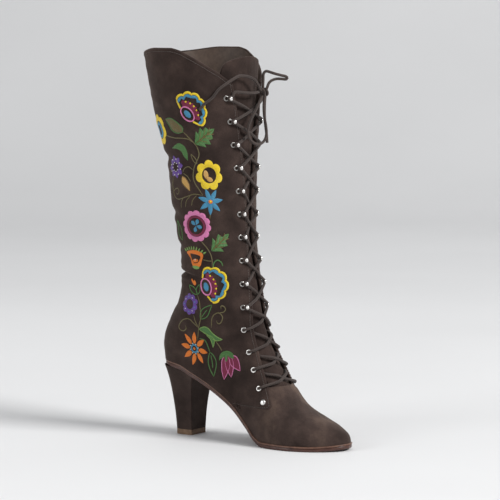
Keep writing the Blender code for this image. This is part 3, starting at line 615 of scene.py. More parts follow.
def quad_mesh(name, verts, quads, finishes, uvs=None, slots=None):
    """A smooth mesh from arrays of points and quads."""
    verts = np.asarray(verts, dtype=np.float64).reshape(-1, 3)
    quads = np.asarray(quads, dtype=np.int64).reshape(-1, 4)
    data = bpy.data.meshes.new(name)
    data.from_pydata(verts.tolist(), [], quads.tolist())
    for finish in finishes:
        data.materials.append(finish)
    data.polygons.foreach_set("use_smooth", np.ones(len(quads), dtype=bool))
    if slots is not None:
        data.polygons.foreach_set("material_index", np.asarray(slots, dtype=np.int32))
    if uvs is not None:
        layer = data.uv_layers.new(name="UVMap")
        layer.data.foreach_set("uv", np.asarray(uvs, dtype=np.float64)[quads.reshape(-1)].ravel())
    data.update()
    return new_object(name, data)


def grid_quads(rows, columns, closed=False):
    """Quads of a grid of points, its columns closed into rings if asked."""
    i = np.arange(rows - 1)[:, None]
    j = np.arange(columns if closed else columns - 1)[None, :]
    k = (j + 1) % columns
    here, above = i * columns, (i + 1) * columns
    quads = np.stack((here + j, here + k, above + k, above + j), axis=-1)
    return quads.reshape(-1, 4)


class Collected:
    """Points, quads and texture places gathered into one mesh."""

    def __init__(self):
        self.verts, self.quads, self.uvs, self.slots, self.count = [], [], [], [], 0

    def add(self, verts, quads, uvs=None, slot=0):
        verts = np.asarray(verts, dtype=float).reshape(-1, 3)
        quads = np.asarray(quads).reshape(-1, 4)
        self.verts.append(verts)
        self.quads.append(quads + self.count)
        self.uvs.append(np.zeros((len(verts), 2)) if uvs is None else np.asarray(uvs).reshape(-1, 2))
        self.slots.append(np.full(len(quads), slot))
        self.count += len(verts)

    def build(self, name, finishes):
        gathered = (self.verts, self.quads, self.uvs, self.slots)
        verts, quads, uvs, slots = (np.concatenate(part) for part in gathered)
        return quad_mesh(name, verts, quads, finishes, uvs, slots)


# Materials.


def shader_of(name):
    item = bpy.data.materials.new(name)
    item.use_nodes = True
    return item, item.node_tree, item.node_tree.nodes["Principled BSDF"]


def set_inputs(item, values):
    for name, value in values.items():
        item.inputs[name].default_value = value


def noise(tree, scale, detail=3.0, roughness=0.5):
    item = tree.nodes.new("ShaderNodeTexNoise")
    set_inputs(item, {"Scale": scale, "Detail": detail, "Roughness": roughness})
    tree.links.new(place_of(tree, "Object"), item.inputs["Vector"])
    return item.outputs["Fac"]


def place_of(tree, kind):
    for item in tree.nodes:
        if item.bl_idname == "ShaderNodeTexCoord":
            return item.outputs[kind]
    return tree.nodes.new("ShaderNodeTexCoord").outputs[kind]


def ramp(tree, source, *stops):
    item = tree.nodes.new("ShaderNodeValToRGB")
    while len(item.color_ramp.elements) < len(stops):
        item.color_ramp.elements.new(0.5)
    for element, (place, colour) in zip(item.color_ramp.elements, stops):
        element.position = place
        element.color = (*colour, 1.0)
    tree.links.new(source, item.inputs["Fac"])
    return item.outputs["Color"]


def multiply_colours(tree, first, second):
    item = tree.nodes.new("ShaderNodeMix")
    item.data_type = "RGBA"
    item.blend_type = "MULTIPLY"
    item.inputs[0].default_value = 1.0
    tree.links.new(first, item.inputs[6])
    tree.links.new(second, item.inputs[7])
    return item.outputs[2]


def maths(tree, operation, first, second=0.0, third=0.0):
    item = tree.nodes.new("ShaderNodeMath")
    item.operation = operation
    for socket, value in zip(item.inputs, (first, second, third)):
        if isinstance(value, (int, float)):
            socket.default_value = value
        else:
            tree.links.new(value, socket)
    return item.outputs[0]


def bump(tree, shader, height, distance, strength=1.0, below=None):
    item = tree.nodes.new("ShaderNodeBump")
    set_inputs(item, {"Strength": strength, "Distance": distance})
    tree.links.new(height, item.inputs["Height"])
    if below is not None:
        tree.links.new(below, item.inputs["Normal"])
    tree.links.new(item.outputs["Normal"], shader.inputs["Normal"])
    return item.outputs["Normal"]


def suede(name, dark, middle, light, sheen):
    """Napped leather: clouds of brushed nap, short fibres and a soft bloom at grazing light."""
    item, tree, shader = shader_of(name)
    clouds = ramp(tree, noise(tree, 38.0, 4.0, 0.55), (0.32, dark), (0.52, middle), (0.74, light))
    fibres = noise(tree, 1500.0, 4.0, 0.65)
    speckle = ramp(tree, fibres, (0.30, (0.70, 0.69, 0.68)), (0.70, (1.22, 1.21, 1.20)))
    tree.links.new(multiply_colours(tree, clouds, speckle), shader.inputs["Base Color"])
    bloom = {"Sheen Weight": sheen, "Sheen Roughness": 0.42, "Sheen Tint": (0.75, 0.60, 0.52, 1.0)}
    set_inputs(shader, {"Roughness": 0.92, "Specular IOR Level": 0.18, **bloom})
    soft = bump(tree, shader, noise(tree, 260.0, 3.0, 0.5), 0.00035, 0.55)
    bump(tree, shader, fibres, 0.00018, 0.75, soft)
    return item


def smooth_leather(name, dark, light, roughness):
    """Finished leather with faint clouds and a fine grain."""
    item, tree, shader = shader_of(name)
    colour = ramp(tree, noise(tree, 220.0, 5.0, 0.6), (0.30, dark), (0.72, light))
    tree.links.new(colour, shader.inputs["Base Color"])
    shader.inputs["Roughness"].default_value = roughness
    bump(tree, shader, noise(tree, 1400.0, 3.0, 0.6), 0.00008, 0.5)
    return item


def plated(name, colour, roughness):
    """Worn bright metal."""
    item, tree, shader = shader_of(name)
    tint = tuple(0.82 * c for c in colour)
    shine = ramp(tree, noise(tree, 420.0, 3.0), (0.35, tint), (0.65, colour))
    tree.links.new(shine, shader.inputs["Base Color"])
    shader.inputs["Metallic"].default_value = 1.0
    worn = maths(tree, "MULTIPLY_ADD", noise(tree, 900.0, 2.0), 0.10, roughness - 0.05)
    tree.links.new(worn, shader.inputs["Roughness"])
    bump(tree, shader, noise(tree, 700.0, 2.0), 0.00003, 0.4)
    return item


def braid(name, dark, light):
    """Round braided cord: two crossing sets of strands, from the tube's own length and turn, with painted
    shade in the grooves between strands.
    """
    item, tree, shader = shader_of(name)
    split = tree.nodes.new("ShaderNodeSeparateXYZ")
    tree.links.new(place_of(tree, "UV"), split.inputs[0])
    along = maths(tree, "MULTIPLY", split.outputs[0], 2.0 * math.pi)
    around = maths(tree, "MULTIPLY", split.outputs[1], 12.0 * math.pi)
    first = maths(tree, "SINE", maths(tree, "ADD", along, around))
    second = maths(tree, "SINE", maths(tree, "SUBTRACT", along, around))
    weave = maths(tree, "MAXIMUM", first, second)
    height = maths(tree, "MULTIPLY_ADD", weave, 0.5, 0.5)
    # Colour follows the weave's height: the dark colour is painted shade in the grooves between strands, the
    # light one the cord's own colour.
    colour = ramp(tree, height, (0.30, dark), (0.85, light))
    fuzz = ramp(tree, noise(tree, 900.0, 3.0), (0.3, (0.8, 0.8, 0.8)), (0.7, (1.15, 1.15, 1.15)))
    tree.links.new(multiply_colours(tree, colour, fuzz), shader.inputs["Base Color"])
    set_inputs(shader, {"Roughness": 0.88, "Sheen Weight": 0.10, "Sheen Roughness": 0.5})
    bump(tree, shader, height, 0.0002, 0.8)
    return item


SUEDE = suede(
    "suede_brown", (0.0215, 0.0135, 0.0113), (0.0355, 0.0228, 0.0192), (0.064, 0.042, 0.035), 0.20
)
# The vamp's suede: the brown suede made lighter, a painted highlight of the light on the toe and vamp.
LIT_VAMP_SUEDE = suede(
    "suede_vamp_painted_highlight", (0.0260, 0.0165, 0.0140), (0.0490, 0.0320, 0.0270), (0.102, 0.069, 0.053), 0.28
)
HEEL_SUEDE = suede(
    "suede_heel", (0.0235, 0.0153, 0.0130), (0.0385, 0.0255, 0.0218), (0.058, 0.040, 0.033), 0.20
)
LINING = smooth_leather("lining_leather", (0.055, 0.034, 0.024), (0.095, 0.062, 0.044), 0.62)
RAND_FINISH = smooth_leather("rand_edge", (0.085, 0.036, 0.022), (0.185, 0.094, 0.060), 0.42)
SOLE_FINISH = smooth_leather("sole_edge", (0.040, 0.0135, 0.0095), (0.085, 0.032, 0.020), 0.38)
LIFT_FINISH = smooth_leather("top_lift_tan", (0.115, 0.063, 0.032), (0.20, 0.120, 0.062), 0.6)
NICKEL = plated("nickel_plate", (0.90, 0.88, 0.85), 0.30)
# Darker nickel for the hooks' rings: a painted dark reflection on the same plating as the bright nickel.
NICKEL_DARK_REFLECTION = plated("nickel_base_painted_reflection", (0.40, 0.385, 0.365), 0.32)
# Nearly black nickel inside the holes: painted shade in the barrels and the cups that close them.
BARREL_PAINTED_SHADE = plated("nickel_inside_painted_shade", (0.10, 0.095, 0.09), 0.45)
# Lace: painted shade between the strands, then the lace's own colour.
LACE_SHADE_AND_COLOUR = ((0.015, 0.0098, 0.0082), (0.052, 0.035, 0.0285))
LACE_FINISH = braid("lace_braid", *LACE_SHADE_AND_COLOUR)
# Seam thread: painted shade between the strands, then the thread's own colour.
SEAM_THREAD = braid("seam_thread", (0.030, 0.022, 0.019), (0.105, 0.080, 0.068))


# Camera, floor and light.


CAMERA_AIM = (0.0514, 0.0360, 0.1920)
CAMERA_TURN, CAMERA_RISE = math.radians(35.0), math.radians(5.3)
CAMERA_DISTANCE = 2.7
LENS = 187.0

# The paper: where it starts to turn up behind the boot, and the radius of the turn.
SWEEP_START, SWEEP_RADIUS = 2.6, 1.6

# Lights: name, place, size of the square, power, and the point they face.
LIGHTS = (
    ("key", (4.3, 0.3, 3.4), 1.7, 290.0, (0.05, 0.0, 0.18)),
    ("fill", (-1.6, -3.4, 1.5), 2.0, 52.0, (0.05, 0.0, 0.2)),
    ("top", (-0.2, 0.6, 3.2), 2.4, 20.0, (0.05, 0.0, 0.2)),
)


def place_camera():
    turn, rise = CAMERA_TURN, CAMERA_RISE
    back = Vector((math.sin(turn) * math.cos(rise), -math.cos(turn) * math.cos(rise), math.sin(rise)))
    data = bpy.data.cameras.new("camera")
    data.lens = LENS
    data.sensor_width = 36.0
    camera = new_object("camera", data)
    camera.location = Vector(CAMERA_AIM) + CAMERA_DISTANCE * back
    camera.rotation_euler = (-back).to_track_quat("-Z", "Y").to_euler()
    bpy.context.scene.camera = camera


def build_stage():
    """Camera, a sheet of pale paper that sweeps up behind the boot, and the lights."""
    place_camera()
    turn = CAMERA_TURN
    profile = [(-4.0, 0.0), (SWEEP_START, 0.0)]
    for a in np.linspace(0.1, math.pi / 2, 14):
        rise = SWEEP_RADIUS - SWEEP_RADIUS * math.cos(a)
        profile.append((SWEEP_START + SWEEP_RADIUS * math.sin(a), rise))
    profile += [(SWEEP_START + SWEEP_RADIUS, 7.0)]
    verts = []
    for depth, height in profile:
        for across in (-6.0, 6.0):
            x = math.cos(turn) * across - math.sin(turn) * depth
            y = math.sin(turn) * across + math.cos(turn) * depth
            verts.append((x, y, height))
    item, tree, shader = shader_of("floor_paper")
    pale = ramp(tree, noise(tree, 1.2, 3.0), (0.35, (0.70, 0.70, 0.702)), (0.65, (0.74, 0.74, 0.742)))
    tree.links.new(pale, shader.inputs["Base Color"])
    shader.inputs["Roughness"].default_value = 0.75
    floor = quad_mesh("floor", verts, grid_quads(len(profile), 2), [item])
    for name, place, size, power, aim in LIGHTS:
        light = bpy.data.lights.new(name, "AREA")
        light.shape = "SQUARE"
        light.size = size
        light.energy = power
        lamp = new_object(name, light)
        lamp.location = place
        lamp.rotation_euler = (Vector(aim) - Vector(place)).to_track_quat("-Z", "Y").to_euler()
    world = bpy.data.worlds.new("studio")
    bpy.context.scene.world = world
    world.use_nodes = True
    set_inputs(world.node_tree.nodes["Background"], {"Color": (0.95, 0.97, 1.0, 1.0), "Strength": 0.32})
    bpy.context.scene.view_settings.view_transform = "Standard"


# Cords of the bow: the routes of the part's source, in metres.
BOW_KNOT = (
    (0.0805, 0.0108, 0.3578),
    (0.0829, 0.0112, 0.3602),
    (0.0853, 0.0124, 0.3582),
    (0.0850, 0.0136, 0.3548),
    (0.0822, 0.0142, 0.3540),
    (0.0800, 0.0150, 0.3566),
    (0.0820, 0.0160, 0.3603),
    (0.0852, 0.0170, 0.3590),
    (0.0858, 0.0180, 0.3552),
    (0.0828, 0.0186, 0.3536),
)
BOW_LOOP_FRONT = (
    (0.0830, 0.0140, 0.3600),
    (0.0829, 0.0140, 0.3626),
    (0.0826, 0.0150, 0.3705),
    (0.0822, 0.0160, 0.3755),
    (0.0836, 0.0180, 0.3782),
    (0.0860, 0.0205, 0.3777),
    (0.0899, 0.0240, 0.3760),
    (0.0940, 0.0300, 0.3741),
    (0.0972, 0.0338, 0.3730),
    (0.0986, 0.0350, 0.3715),
    (0.0974, 0.0345, 0.3699),
    (0.0940, 0.0310, 0.3703),
    (0.0904, 0.0270, 0.3703),
    (0.0880, 0.0225, 0.3688),
    (0.0867, 0.0190, 0.3660),
    (0.0864, 0.0165, 0.3617),
    (0.0852, 0.0160, 0.3592),
)
BOW_LOOP_DROP = (
    (0.0830, 0.0135, 0.3545),
    (0.0828, 0.0118, 0.3519),
    (0.0832, 0.0092, 0.3497),
    (0.0838, 0.0055, 0.3460),
    (0.0842, 0.0002, 0.3400),
    (0.0838, -0.0055, 0.3335),
    (0.0832, -0.0100, 0.3265),
    (0.0828, -0.0120, 0.3194),
    (0.0828, -0.0110, 0.3127),
    (0.0836, -0.0063, 0.3075),
    (0.0846, 0.0002, 0.3046),
    (0.0858, 0.0070, 0.3052),
    (0.0866, 0.0125, 0.3090),
    (0.0866, 0.0150, 0.3150),
    (0.0860, 0.0150, 0.3220),
    (0.0852, 0.0140, 0.3295),
    (0.0846, 0.0135, 0.3370),
    (0.0842, 0.0138, 0.3440),
    (0.0840, 0.0152, 0.3519),
    (0.0840, 0.0156, 0.3547),
)
LACE_END_BACK = (
    (0.0832, 0.0116, 0.3590),
    (0.0829, 0.0090, 0.3600),
    (0.0841, 0.0036, 0.3648),
    (0.0837, -0.0015, 0.3694),
    (0.0822, -0.0068, 0.3723),
    (0.0804, -0.0122, 0.3738),
    (0.0787, -0.0174, 0.3742),
    (0.0770, -0.0217, 0.3737),
    (0.0738, -0.0290, 0.3697),
    (0.0694, -0.0354, 0.3648),
    (0.0648, -0.0400, 0.3595),
    (0.0609, -0.0430, 0.3529),
    (0.0573, -0.0455, 0.3491),
    (0.0539, -0.0474, 0.3463),
    (0.0489, -0.0495, 0.3402),
)
LACE_END_DROP = (
    (0.0826, 0.0180, 0.3544),
    (0.0823, 0.0188, 0.3516),
    (0.0812, 0.0197, 0.3460),
    (0.0807, 0.0202, 0.3400),
    (0.0806, 0.0204, 0.3330),
    (0.0808, 0.0210, 0.3260),
    (0.0812, 0.0220, 0.3190),
    (0.0816, 0.0228, 0.3120),
    (0.0818, 0.0232, 0.3050),
)


def smooth_route(route):
    """A dense smooth line through a route, and the distance along it."""
    knots = np.array(route, dtype=float)
    padded = np.vstack((2 * knots[0] - knots[1], knots, 2 * knots[-1] - knots[-2]))
    fine = []
    for i in range(1, len(padded) - 2):
        p0, p1, p2, p3 = padded[i - 1:i + 3]
        for u in np.linspace(0.0, 1.0, 24, endpoint=False):
            a = 2 * p1 + (p2 - p0) * u + (2 * p0 - 5 * p1 + 4 * p2 - p3) * u * u
            fine.append(0.5 * (a + (3 * p1 - p0 - 3 * p2 + p3) * u**3))
    fine = np.vstack((fine, knots[-1]))
    return travelled(fine), fine


def even_points(route, step):
    """Points about a step apart along the smooth line through a route, and its length."""
    along, fine = smooth_route(route)
    count = max(int(round(along[-1] / step)), 4) + 1
    return sampled(np.linspace(0.0, along[-1], count), along, fine), along[-1]


def free_cord(name, route):
    """A free lace end or loop: a curve along its route."""
    points, length = even_points(route, 0.0012)
    curve = bpy.data.curves.new(name, "CURVE")
    curve.dimensions = "3D"
    curve.bevel_depth = 0.5 * LACE
    curve.bevel_resolution = 6
    curve.use_fill_caps = True
    spline = curve.splines.new("POLY")
    spline.points.add(len(points) - 1)
    for point, place in zip(spline.points, points):
        point.co = (*place, 1.0)
    curve.materials.append(CORD_FINISH)
    item = new_object(name, curve)
    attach(item, "root")
    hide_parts(name.replace("_cord", ""))


CORD_FINISH = braid("cord_braid", *LACE_SHADE_AND_COLOUR)


def build_cords():
    free_cord("bow_knot_cord", BOW_KNOT)
    free_cord("bow_loop_front_cord", BOW_LOOP_FRONT)
    free_cord("bow_loop_drop_cord", BOW_LOOP_DROP)
    free_cord("lace_end_back_cord", LACE_END_BACK)
    free_cord("lace_end_drop_cord", LACE_END_DROP)


# Upper.


def add_lip(parts, edge, normal, inside, thickness, steps=6):
    """A strip that turns a panel's edge over its thickness in a half round, away from the points inside."""
    outwards = unit(np.cross(np.gradient(edge, axis=0), normal))
    outwards *= np.sign(np.sum(outwards * (edge - inside), axis=1, keepdims=True))
    rows = [edge]
    for turn in np.linspace(0.0, math.pi, steps + 1)[1:]:
        depth = 0.5 * thickness * (1.0 - math.cos(turn))
        reach = 0.5 * thickness * math.sin(turn)
        rows.append(edge - normal * depth + outwards * reach)
    parts.add(rows, grid_quads(len(rows), len(edge)))


def drill(points, quads, centres, radius):
    """The quads whose middles lie outside every hole."""
    middle = points.reshape(-1, 3)[quads].mean(axis=1)
    keep = np.ones(len(quads), dtype=bool)
    for centre in centres:
        keep &= np.linalg.norm(middle - centre, axis=1) > radius
    return quads[keep]


# The embroidery's chart: the place its distances start from, its reach, and the spacing of its points.
CHART_X = 0.040
CHART_ROUND = (-0.088, 0.096)
CHART_HEIGHT = (0.050, 0.402)
CHART_STEP = 0.001

# Radius of the holes behind the eyelets, through the suede and through the lining.
SUEDE_HOLE = 0.0021
LINING_HOLE = 0.0035


class Side:
    """One quarter: its outside with creases, its normals, and a chart of distance round and height."""

    def __init__(self, lateral):
        self.lateral = lateral
        self.word = "lateral" if lateral else "medial"
        grid = quarter_grid(lateral)
        base, normal = grid[..., :3], grid[..., 3:]
        normal[:, 0, 1] = 0.0
        self.normal = unit(normal)
        edge = np.linalg.norm(base - base[:, -1:], axis=2)
        hold = ease(0.001, 0.012, edge)
        hold = hold * ease(0.0, 0.004, base[..., 2] - feather_z(base[..., 0]))
        shift = crease_shift(base, self.word) * (0.25 + 0.75 * hold)
        self.points = base + self.normal * (OVERLAY + shift)[..., None]
        self.make_chart()

    def make_chart(self):
        """Places on a 1 mm chart: distance round to the front from the line at CHART_X, and height."""
        steps = np.linalg.norm(np.diff(self.points, axis=1), axis=2)
        along = np.concatenate((np.zeros((len(steps), 1)), np.cumsum(steps, axis=1)), axis=1)
        middle = [np.interp(CHART_X, row[:, 0], far) for row, far in zip(self.points, along)]
        along = along - np.array(middle)[:, None]
        self.rounds = np.arange(*CHART_ROUND, CHART_STEP)
        self.heights = np.arange(*CHART_HEIGHT, CHART_STEP)
        values = np.concatenate((self.points, self.normal), axis=2)
        at_round = np.array([sampled(self.rounds, far, row) for far, row in zip(along, values)])
        lines = []
        for j in range(len(self.rounds)):
            rise = np.maximum.accumulate(at_round[:, j, 2])
            lines.append(sampled(self.heights, rise, at_round[:, j]))
        self.chart = np.stack(lines, axis=1)

    def on(self, round_mm, height_mm):
        """Points and normals at places of the chart, given in millimetres."""
        u = np.clip(np.asarray(round_mm) - self.rounds[0] * 1000.0, 0.0, len(self.rounds) - 1.001)
        v = np.clip(np.asarray(height_mm) - self.heights[0] * 1000.0, 0.0, len(self.heights) - 1.001)
        i, j = v.astype(int), u.astype(int)
        fv, fu = (v - i)[..., None], (u - j)[..., None]
        low = self.chart[i, j] * (1 - fu) + self.chart[i, j + 1] * fu
        high = self.chart[i + 1, j] * (1 - fu) + self.chart[i + 1, j + 1] * fu
        found = low * (1 - fv) + high * fv
        return found[..., :3], unit(found[..., 3:])


def eyelet_centres(side):
    return [front_point(z, row_place(z, side)) for z in fastener_heights()[:len(EYELET_HEIGHTS)]]


def build_quarter(side):
    """Outside, turned edges and lining of one quarter."""
    points, normal = side.points, side.normal
    rows, columns, _ = points.shape
    holes = eyelet_centres(1 if side.lateral else -1)[1:]
    parts = Collected()
    parts.add(points, drill(points, grid_quads(rows, columns), holes, SUEDE_HOLE))
    thick = WALL + OVERLAY
    add_lip(parts, points[-1], normal[-1], points[-2], thick)
    add_lip(parts, points[:, -1], normal[:, -1], points[:, -2], thick)
    step = 3
    whole = points - normal * thick
    inner = np.concatenate((whole[::step, ::step], whole[-1:, ::step]))
    last = np.concatenate((whole[::step, -1:], whole[-1:, -1:]))
    inner = np.concatenate((inner, last), axis=1)
    parts.add(inner, drill(inner, grid_quads(*inner.shape[:2]), holes, LINING_HOLE), slot=1)
    item = parts.build(f"quarter_{side.word}", [SUEDE, LINING])
    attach(item, "root")
    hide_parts("upper")


def build_vamp():
    """The vamp, from the toe to the bottom of the lacing, its sides hidden under the quarters."""
    levels = np.linspace(0.0, 0.6, 400)
    tops = ring_profile(levels, np.ones(400))[1]
    top = float(np.interp(THROAT_BOTTOM, tops, levels))
    levels = np.linspace(0.0, top, 190)
    halves = []
    for lateral in (False, True):
        starts = np.clip(quarter_ends(levels, lateral) - 0.13, 0.0, 0.9)
        window = max(len(levels) // 12, 2)
        padded = np.concatenate((np.full(window, starts[0]), starts, np.full(window, starts[-1])))
        starts = np.array([padded[i:i + 2 * window + 1].mean() for i in range(len(levels))])
        rows = even_rows(levels, starts, np.ones(len(levels)), 130, lateral)
        halves.append(rows)
    halves[0][:, -1, 4] = 0.0
    both = np.concatenate((halves[0], halves[1][:, -2::-1]), axis=1)
    grid, normal = both[..., :3], unit(both[..., 3:])
    side_shift = np.where(grid[..., 1] < 0.0, crease_shift(grid, "medial"), crease_shift(grid, "lateral"))
    hold = ease(0.0, 0.004, grid[..., 2] - feather_z(grid[..., 0]))
    points = grid + normal * (side_shift * (0.2 + 0.8 * hold))[..., None]
    parts = Collected()
    parts.add(points, grid_quads(*points.shape[:2]))
    add_lip(parts, points[-1], normal[-1], points[-2], WALL)
    inner = (grid - normal * WALL)[::3, ::3]
    parts.add(inner, grid_quads(*inner.shape[:2]), slot=1)
    # The vamp's outside takes the lighter suede, a painted highlight.
    item = parts.build("vamp", [LIT_VAMP_SUEDE, LINING])
    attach(item, "root")
    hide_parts("upper")


def front_place(z, y):
    """How far forward the front lies at a height, for places across it."""
    widths, x = front_section(z)
    return np.where(y < 0.0, np.interp(-y, widths[0], x), np.interp(y, widths[1], x))


def tongue_surface(heights, halves, columns, depth):
    """Rows of points on the front, set in by a depth, and their normals."""
    step = 0.0015
    rows, normals = [], []
    for z, half in zip(heights, halves):
        y = np.linspace(-half, half, columns)
        aside = (front_place(z, y + step) - front_place(z, y - step)) / (2.0 * step)
        upward = (front_place(z + step, y) - front_place(z - step, y)) / (2.0 * step)
        rows.append(np.column_stack((front_place(z, y), y, np.full(columns, z))))
        normals.append(unit(np.column_stack((np.ones(columns), -aside, -upward))))
    normal = np.array(normals)
    return np.array(rows) - normal * depth, normal


# The tongue's foot, the start of its crown and the crown's rise, as shares of the boot height.
TONGUE_FOOT = 0.122
TONGUE_CROWN = 0.95
CROWN_RISE = 0.0285


def build_tongue():
    """The tongue, softly pleated along its height."""
    count, columns = ((300, 91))
    crown = np.sin(np.linspace(0.0, 0.5 * math.pi, count // 4))
    straight = np.linspace(TONGUE_FOOT, TONGUE_CROWN, count)
    heights = np.concatenate((straight, (TONGUE_CROWN + CROWN_RISE * crown)[1:]))
    heights = heights * BOOT_HEIGHT
    share = column(TONGUE_OUTLINE, 1) * 0.5 * TONGUE_WIDTH
    halves = smooth(heights, column(TONGUE_OUTLINE, 0) * BOOT_HEIGHT, share)
    front, normal = tongue_surface(heights, halves, columns, WALL + TONGUE_EASE)
    z = front[..., 2] * 1000.0
    y = front[..., 1] * 1000.0
    fold = 0.26 * np.sin(0.30 * y + 0.9 * np.sin(0.021 * z)) + 0.10 * np.sin(0.62 * y + 0.03 * z + 1.0)
    fold = fold + 0.35 * np.sin(0.19 * z + 0.12 * y) * np.exp(-(((z - 175.0) / 60.0) ** 2))
    fold = fold * ease(48.0, 80.0, z) * 0.0007
    points = front + normal * fold[..., None]
    back = front - normal * TONGUE_THICKNESS
    parts = Collected()
    parts.add(points, grid_quads(len(heights), columns))
    for edge, out, inside in (
        (points[:, -1], normal[:, -1], points[:, -2]),
        (points[:, 0], normal[:, 0], points[:, 1]),
        (points[-1], normal[-1], points[-2]),
    ):
        add_lip(parts, edge, out, inside, TONGUE_THICKNESS, 5)
    parts.add(back, grid_quads(len(heights), columns), slot=1)
    item = parts.build("tongue_leather", [SUEDE, LINING])
    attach(item, "root")
    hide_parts("tongue")


# Sole and heel.


def base_line(count):
    """Plan outline of the feather line, medial side first, with a normal for each point."""
    t = 0.5 - 0.5 * np.cos(np.linspace(0.0, math.pi, count + 1))
    zero = np.zeros(count + 1)
    near = surface(zero, t, False)[:, :2]
    far = surface(zero, t, True)[:, :2]
    line = np.vstack((near[:-1], far[:0:-1]))
    along = np.roll(line, -1, axis=0) - np.roll(line, 1, axis=0)
    normals = unit(np.column_stack((along[:, 1], -along[:, 0])))
    return line, normals


def sole_plate(name, node, margins, top, bottom, round_off, finish, count=150):
    """A layer of the sole with softly rounded edges."""
    line, normals = base_line(count)
    share = (line[:, 0] + HEEL_SETBACK) / FOOT_LENGTH
    margin = margins[1] + (margins[0] - margins[1]) * ease(0.30, 0.62, share)
    rings = []
    inset = 0.004
    for height, reach in (
        (1.0, -inset),
        (1.0, -round_off),
        (1.0 - 0.3 * round_off / 0.001, -0.3 * round_off),
        (0.72, 0.0),
        (0.28, 0.0),
        (0.3 * round_off / 0.001, -0.3 * round_off),
        (0.0, -round_off),
        (0.0, -inset),
    ):
        height = min(max(height, 0.0), 1.0)
        ring = line + normals * (margin + reach)[:, None]
        z = bottom(ring[:, 0]) + height * (top(ring[:, 0]) - bottom(ring[:, 0]))
        rings.append(np.column_stack((ring, z)))
    rings = np.array(rings)
    size = rings.shape[1]
    parts = Collected()
    parts.add(rings, grid_quads(len(rings), size, closed=True))
    half = size // 2
    for ring in (rings[0], rings[-1]):
        i = np.arange(half)
        quads = np.stack((i, i + 1, (size - i - 1) % size, (size - i) % size), axis=-1)
        parts.add(ring, quads[1:-1])
    item = parts.build(name, [finish])
    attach(item, "root")
    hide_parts(node)


def below_feather(depth):
    return lambda x: feather_z(x) - depth


def build_soles():
    top, bottom = below_feather(0.3 * GAP), below_feather(GAP + RAND_THICKNESS)
    margins = (SOLE_MARGIN, SEAT_MARGIN)
    sole_plate("rand_strip", "rand", margins, top, bottom, 0.00035, RAND_FINISH)
    top = below_feather(GAP * 1.3 + RAND_THICKNESS)
    margins = (SOLE_MARGIN * 0.6, SEAT_MARGIN * 0.6)
    sole_plate("sole_leather", "outsole", margins, top, sole_bottom, 0.0005, SOLE_FINISH)


def heel_outline(back, breast, half, count):
    """A heel section with softened corners, closed across the breast."""
    turn = np.linspace(-0.5 * math.pi, 0.5 * math.pi, 80)
    round_off = 2.0 / 3.4
    depth = np.abs(np.cos(turn)) ** round_off
    across = np.sign(np.sin(turn)) * np.abs(np.sin(turn)) ** round_off
    middle = back + 0.55 * (breast - back)
    curve = np.column_stack((middle - (middle - back) * depth, half * across))
    breast_y = np.linspace(half, -half, 30)
    hollow = 0.0006 * (1.0 - (breast_y / half) ** 2)
    face = np.column_stack((breast - hollow, breast_y))
    line = np.vstack((curve, face, curve[:1]))
    along = travelled(line)
    loop = sampled(np.linspace(0.0, along[-1], count, endpoint=False), along, line)
    window = max(int(round(0.0009 / (along[-1] / count))), 1)
    total = sum(np.roll(loop, k, axis=0) for k in range(-window, window + 1))
    return total / (2 * window + 1)


# Rings of the wear piece: height as a share of it, and how far the heel's outline is drawn in, as a share.
LIFT_RINGS = (
    (1.0, 0.90),
    (1.0, 0.004),
    (0.94, 0.0),
    (0.10, 0.0),
    (0.03, 0.004),
    (0.0, 0.015),
    (0.0, 1.0),
)


def build_heel():
    """The covered block heel and the wear piece under it."""
    count = 240
    foot = TOP_LIFT + 0.3 * GAP
    heights = column(HEEL_SECTIONS, 0)
    rings = []
    for share in np.linspace(0.0, 1.0, 70):
        back, breast, half = (float(smooth(share, heights, column(HEEL_SECTIONS, c))) for c in (1, 2, 3))
        back, breast = back * FOOT_LENGTH - HEEL_SETBACK, breast * FOOT_LENGTH - HEEL_SETBACK
        outline = heel_outline(back, breast, half * HEEL_WIDTH, count)
        seat = sole_bottom(outline[:, 0])
        rings.append(np.column_stack((outline, foot + share * (seat - foot))))
    rings = np.array(rings)
    parts = Collected()
    parts.add(rings, grid_quads(len(rings), count, closed=True))
    item = parts.build("heel_cover", [HEEL_SUEDE])
    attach(item, "root")
    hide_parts("heel")
    base = rings[0][:, :2]
    middle = base.mean(axis=0)
    lift_rings = []
    for height, shrink in LIFT_RINGS:
        scaled = middle + (base - middle) * (1.0 - shrink)
        lift_rings.append(np.column_stack((scaled, np.full(count, height * TOP_LIFT))))
    lift_rings = np.array(lift_rings)
    parts = Collected()
    parts.add(lift_rings, grid_quads(len(lift_rings), count, closed=True))
    item = parts.build("top_lift_piece", [LIFT_FINISH])
    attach(item, "root")
    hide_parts("top_lift")


# Hooks, eyelets and lace.


# A radius that closes a turned shape, and how deep a ring's outer edge is sunk.
POINT = 0.00002
SINK = -0.0006

# The hook's stem, and its flattened ball: towards the opening, upwards and outwards.
STEM_RADIUS = 0.0007
BALL_HALVES = (0.00175, 0.0022, 0.0014)

# The bar of lace inside the lowest laced eyelets: below them, half its length, depth and bow.
BAR_DROP = 0.004
BAR_HALF = 0.019
BAR_DEPTH = 0.0030
BAR_BOW = 0.0008

LACE_STEP = 0.0009
LACE_SIDES = 14


def turned(profile, count, frame_at, lift, parts, slot):
    """A turned ring around the local normal, from (radius, height) rows."""
    point, normal, inward, upward = frame_at
    turn = np.linspace(0.0, 2.0 * math.pi, count, endpoint=False)
    rows = []
    for radius, height in profile:
        around = np.cos(turn)[:, None] * inward + np.sin(turn)[:, None] * upward
        rows.append(point + radius * around + normal * (height + lift))
    parts.add(rows, grid_quads(len(profile), count, closed=True), slot=slot)


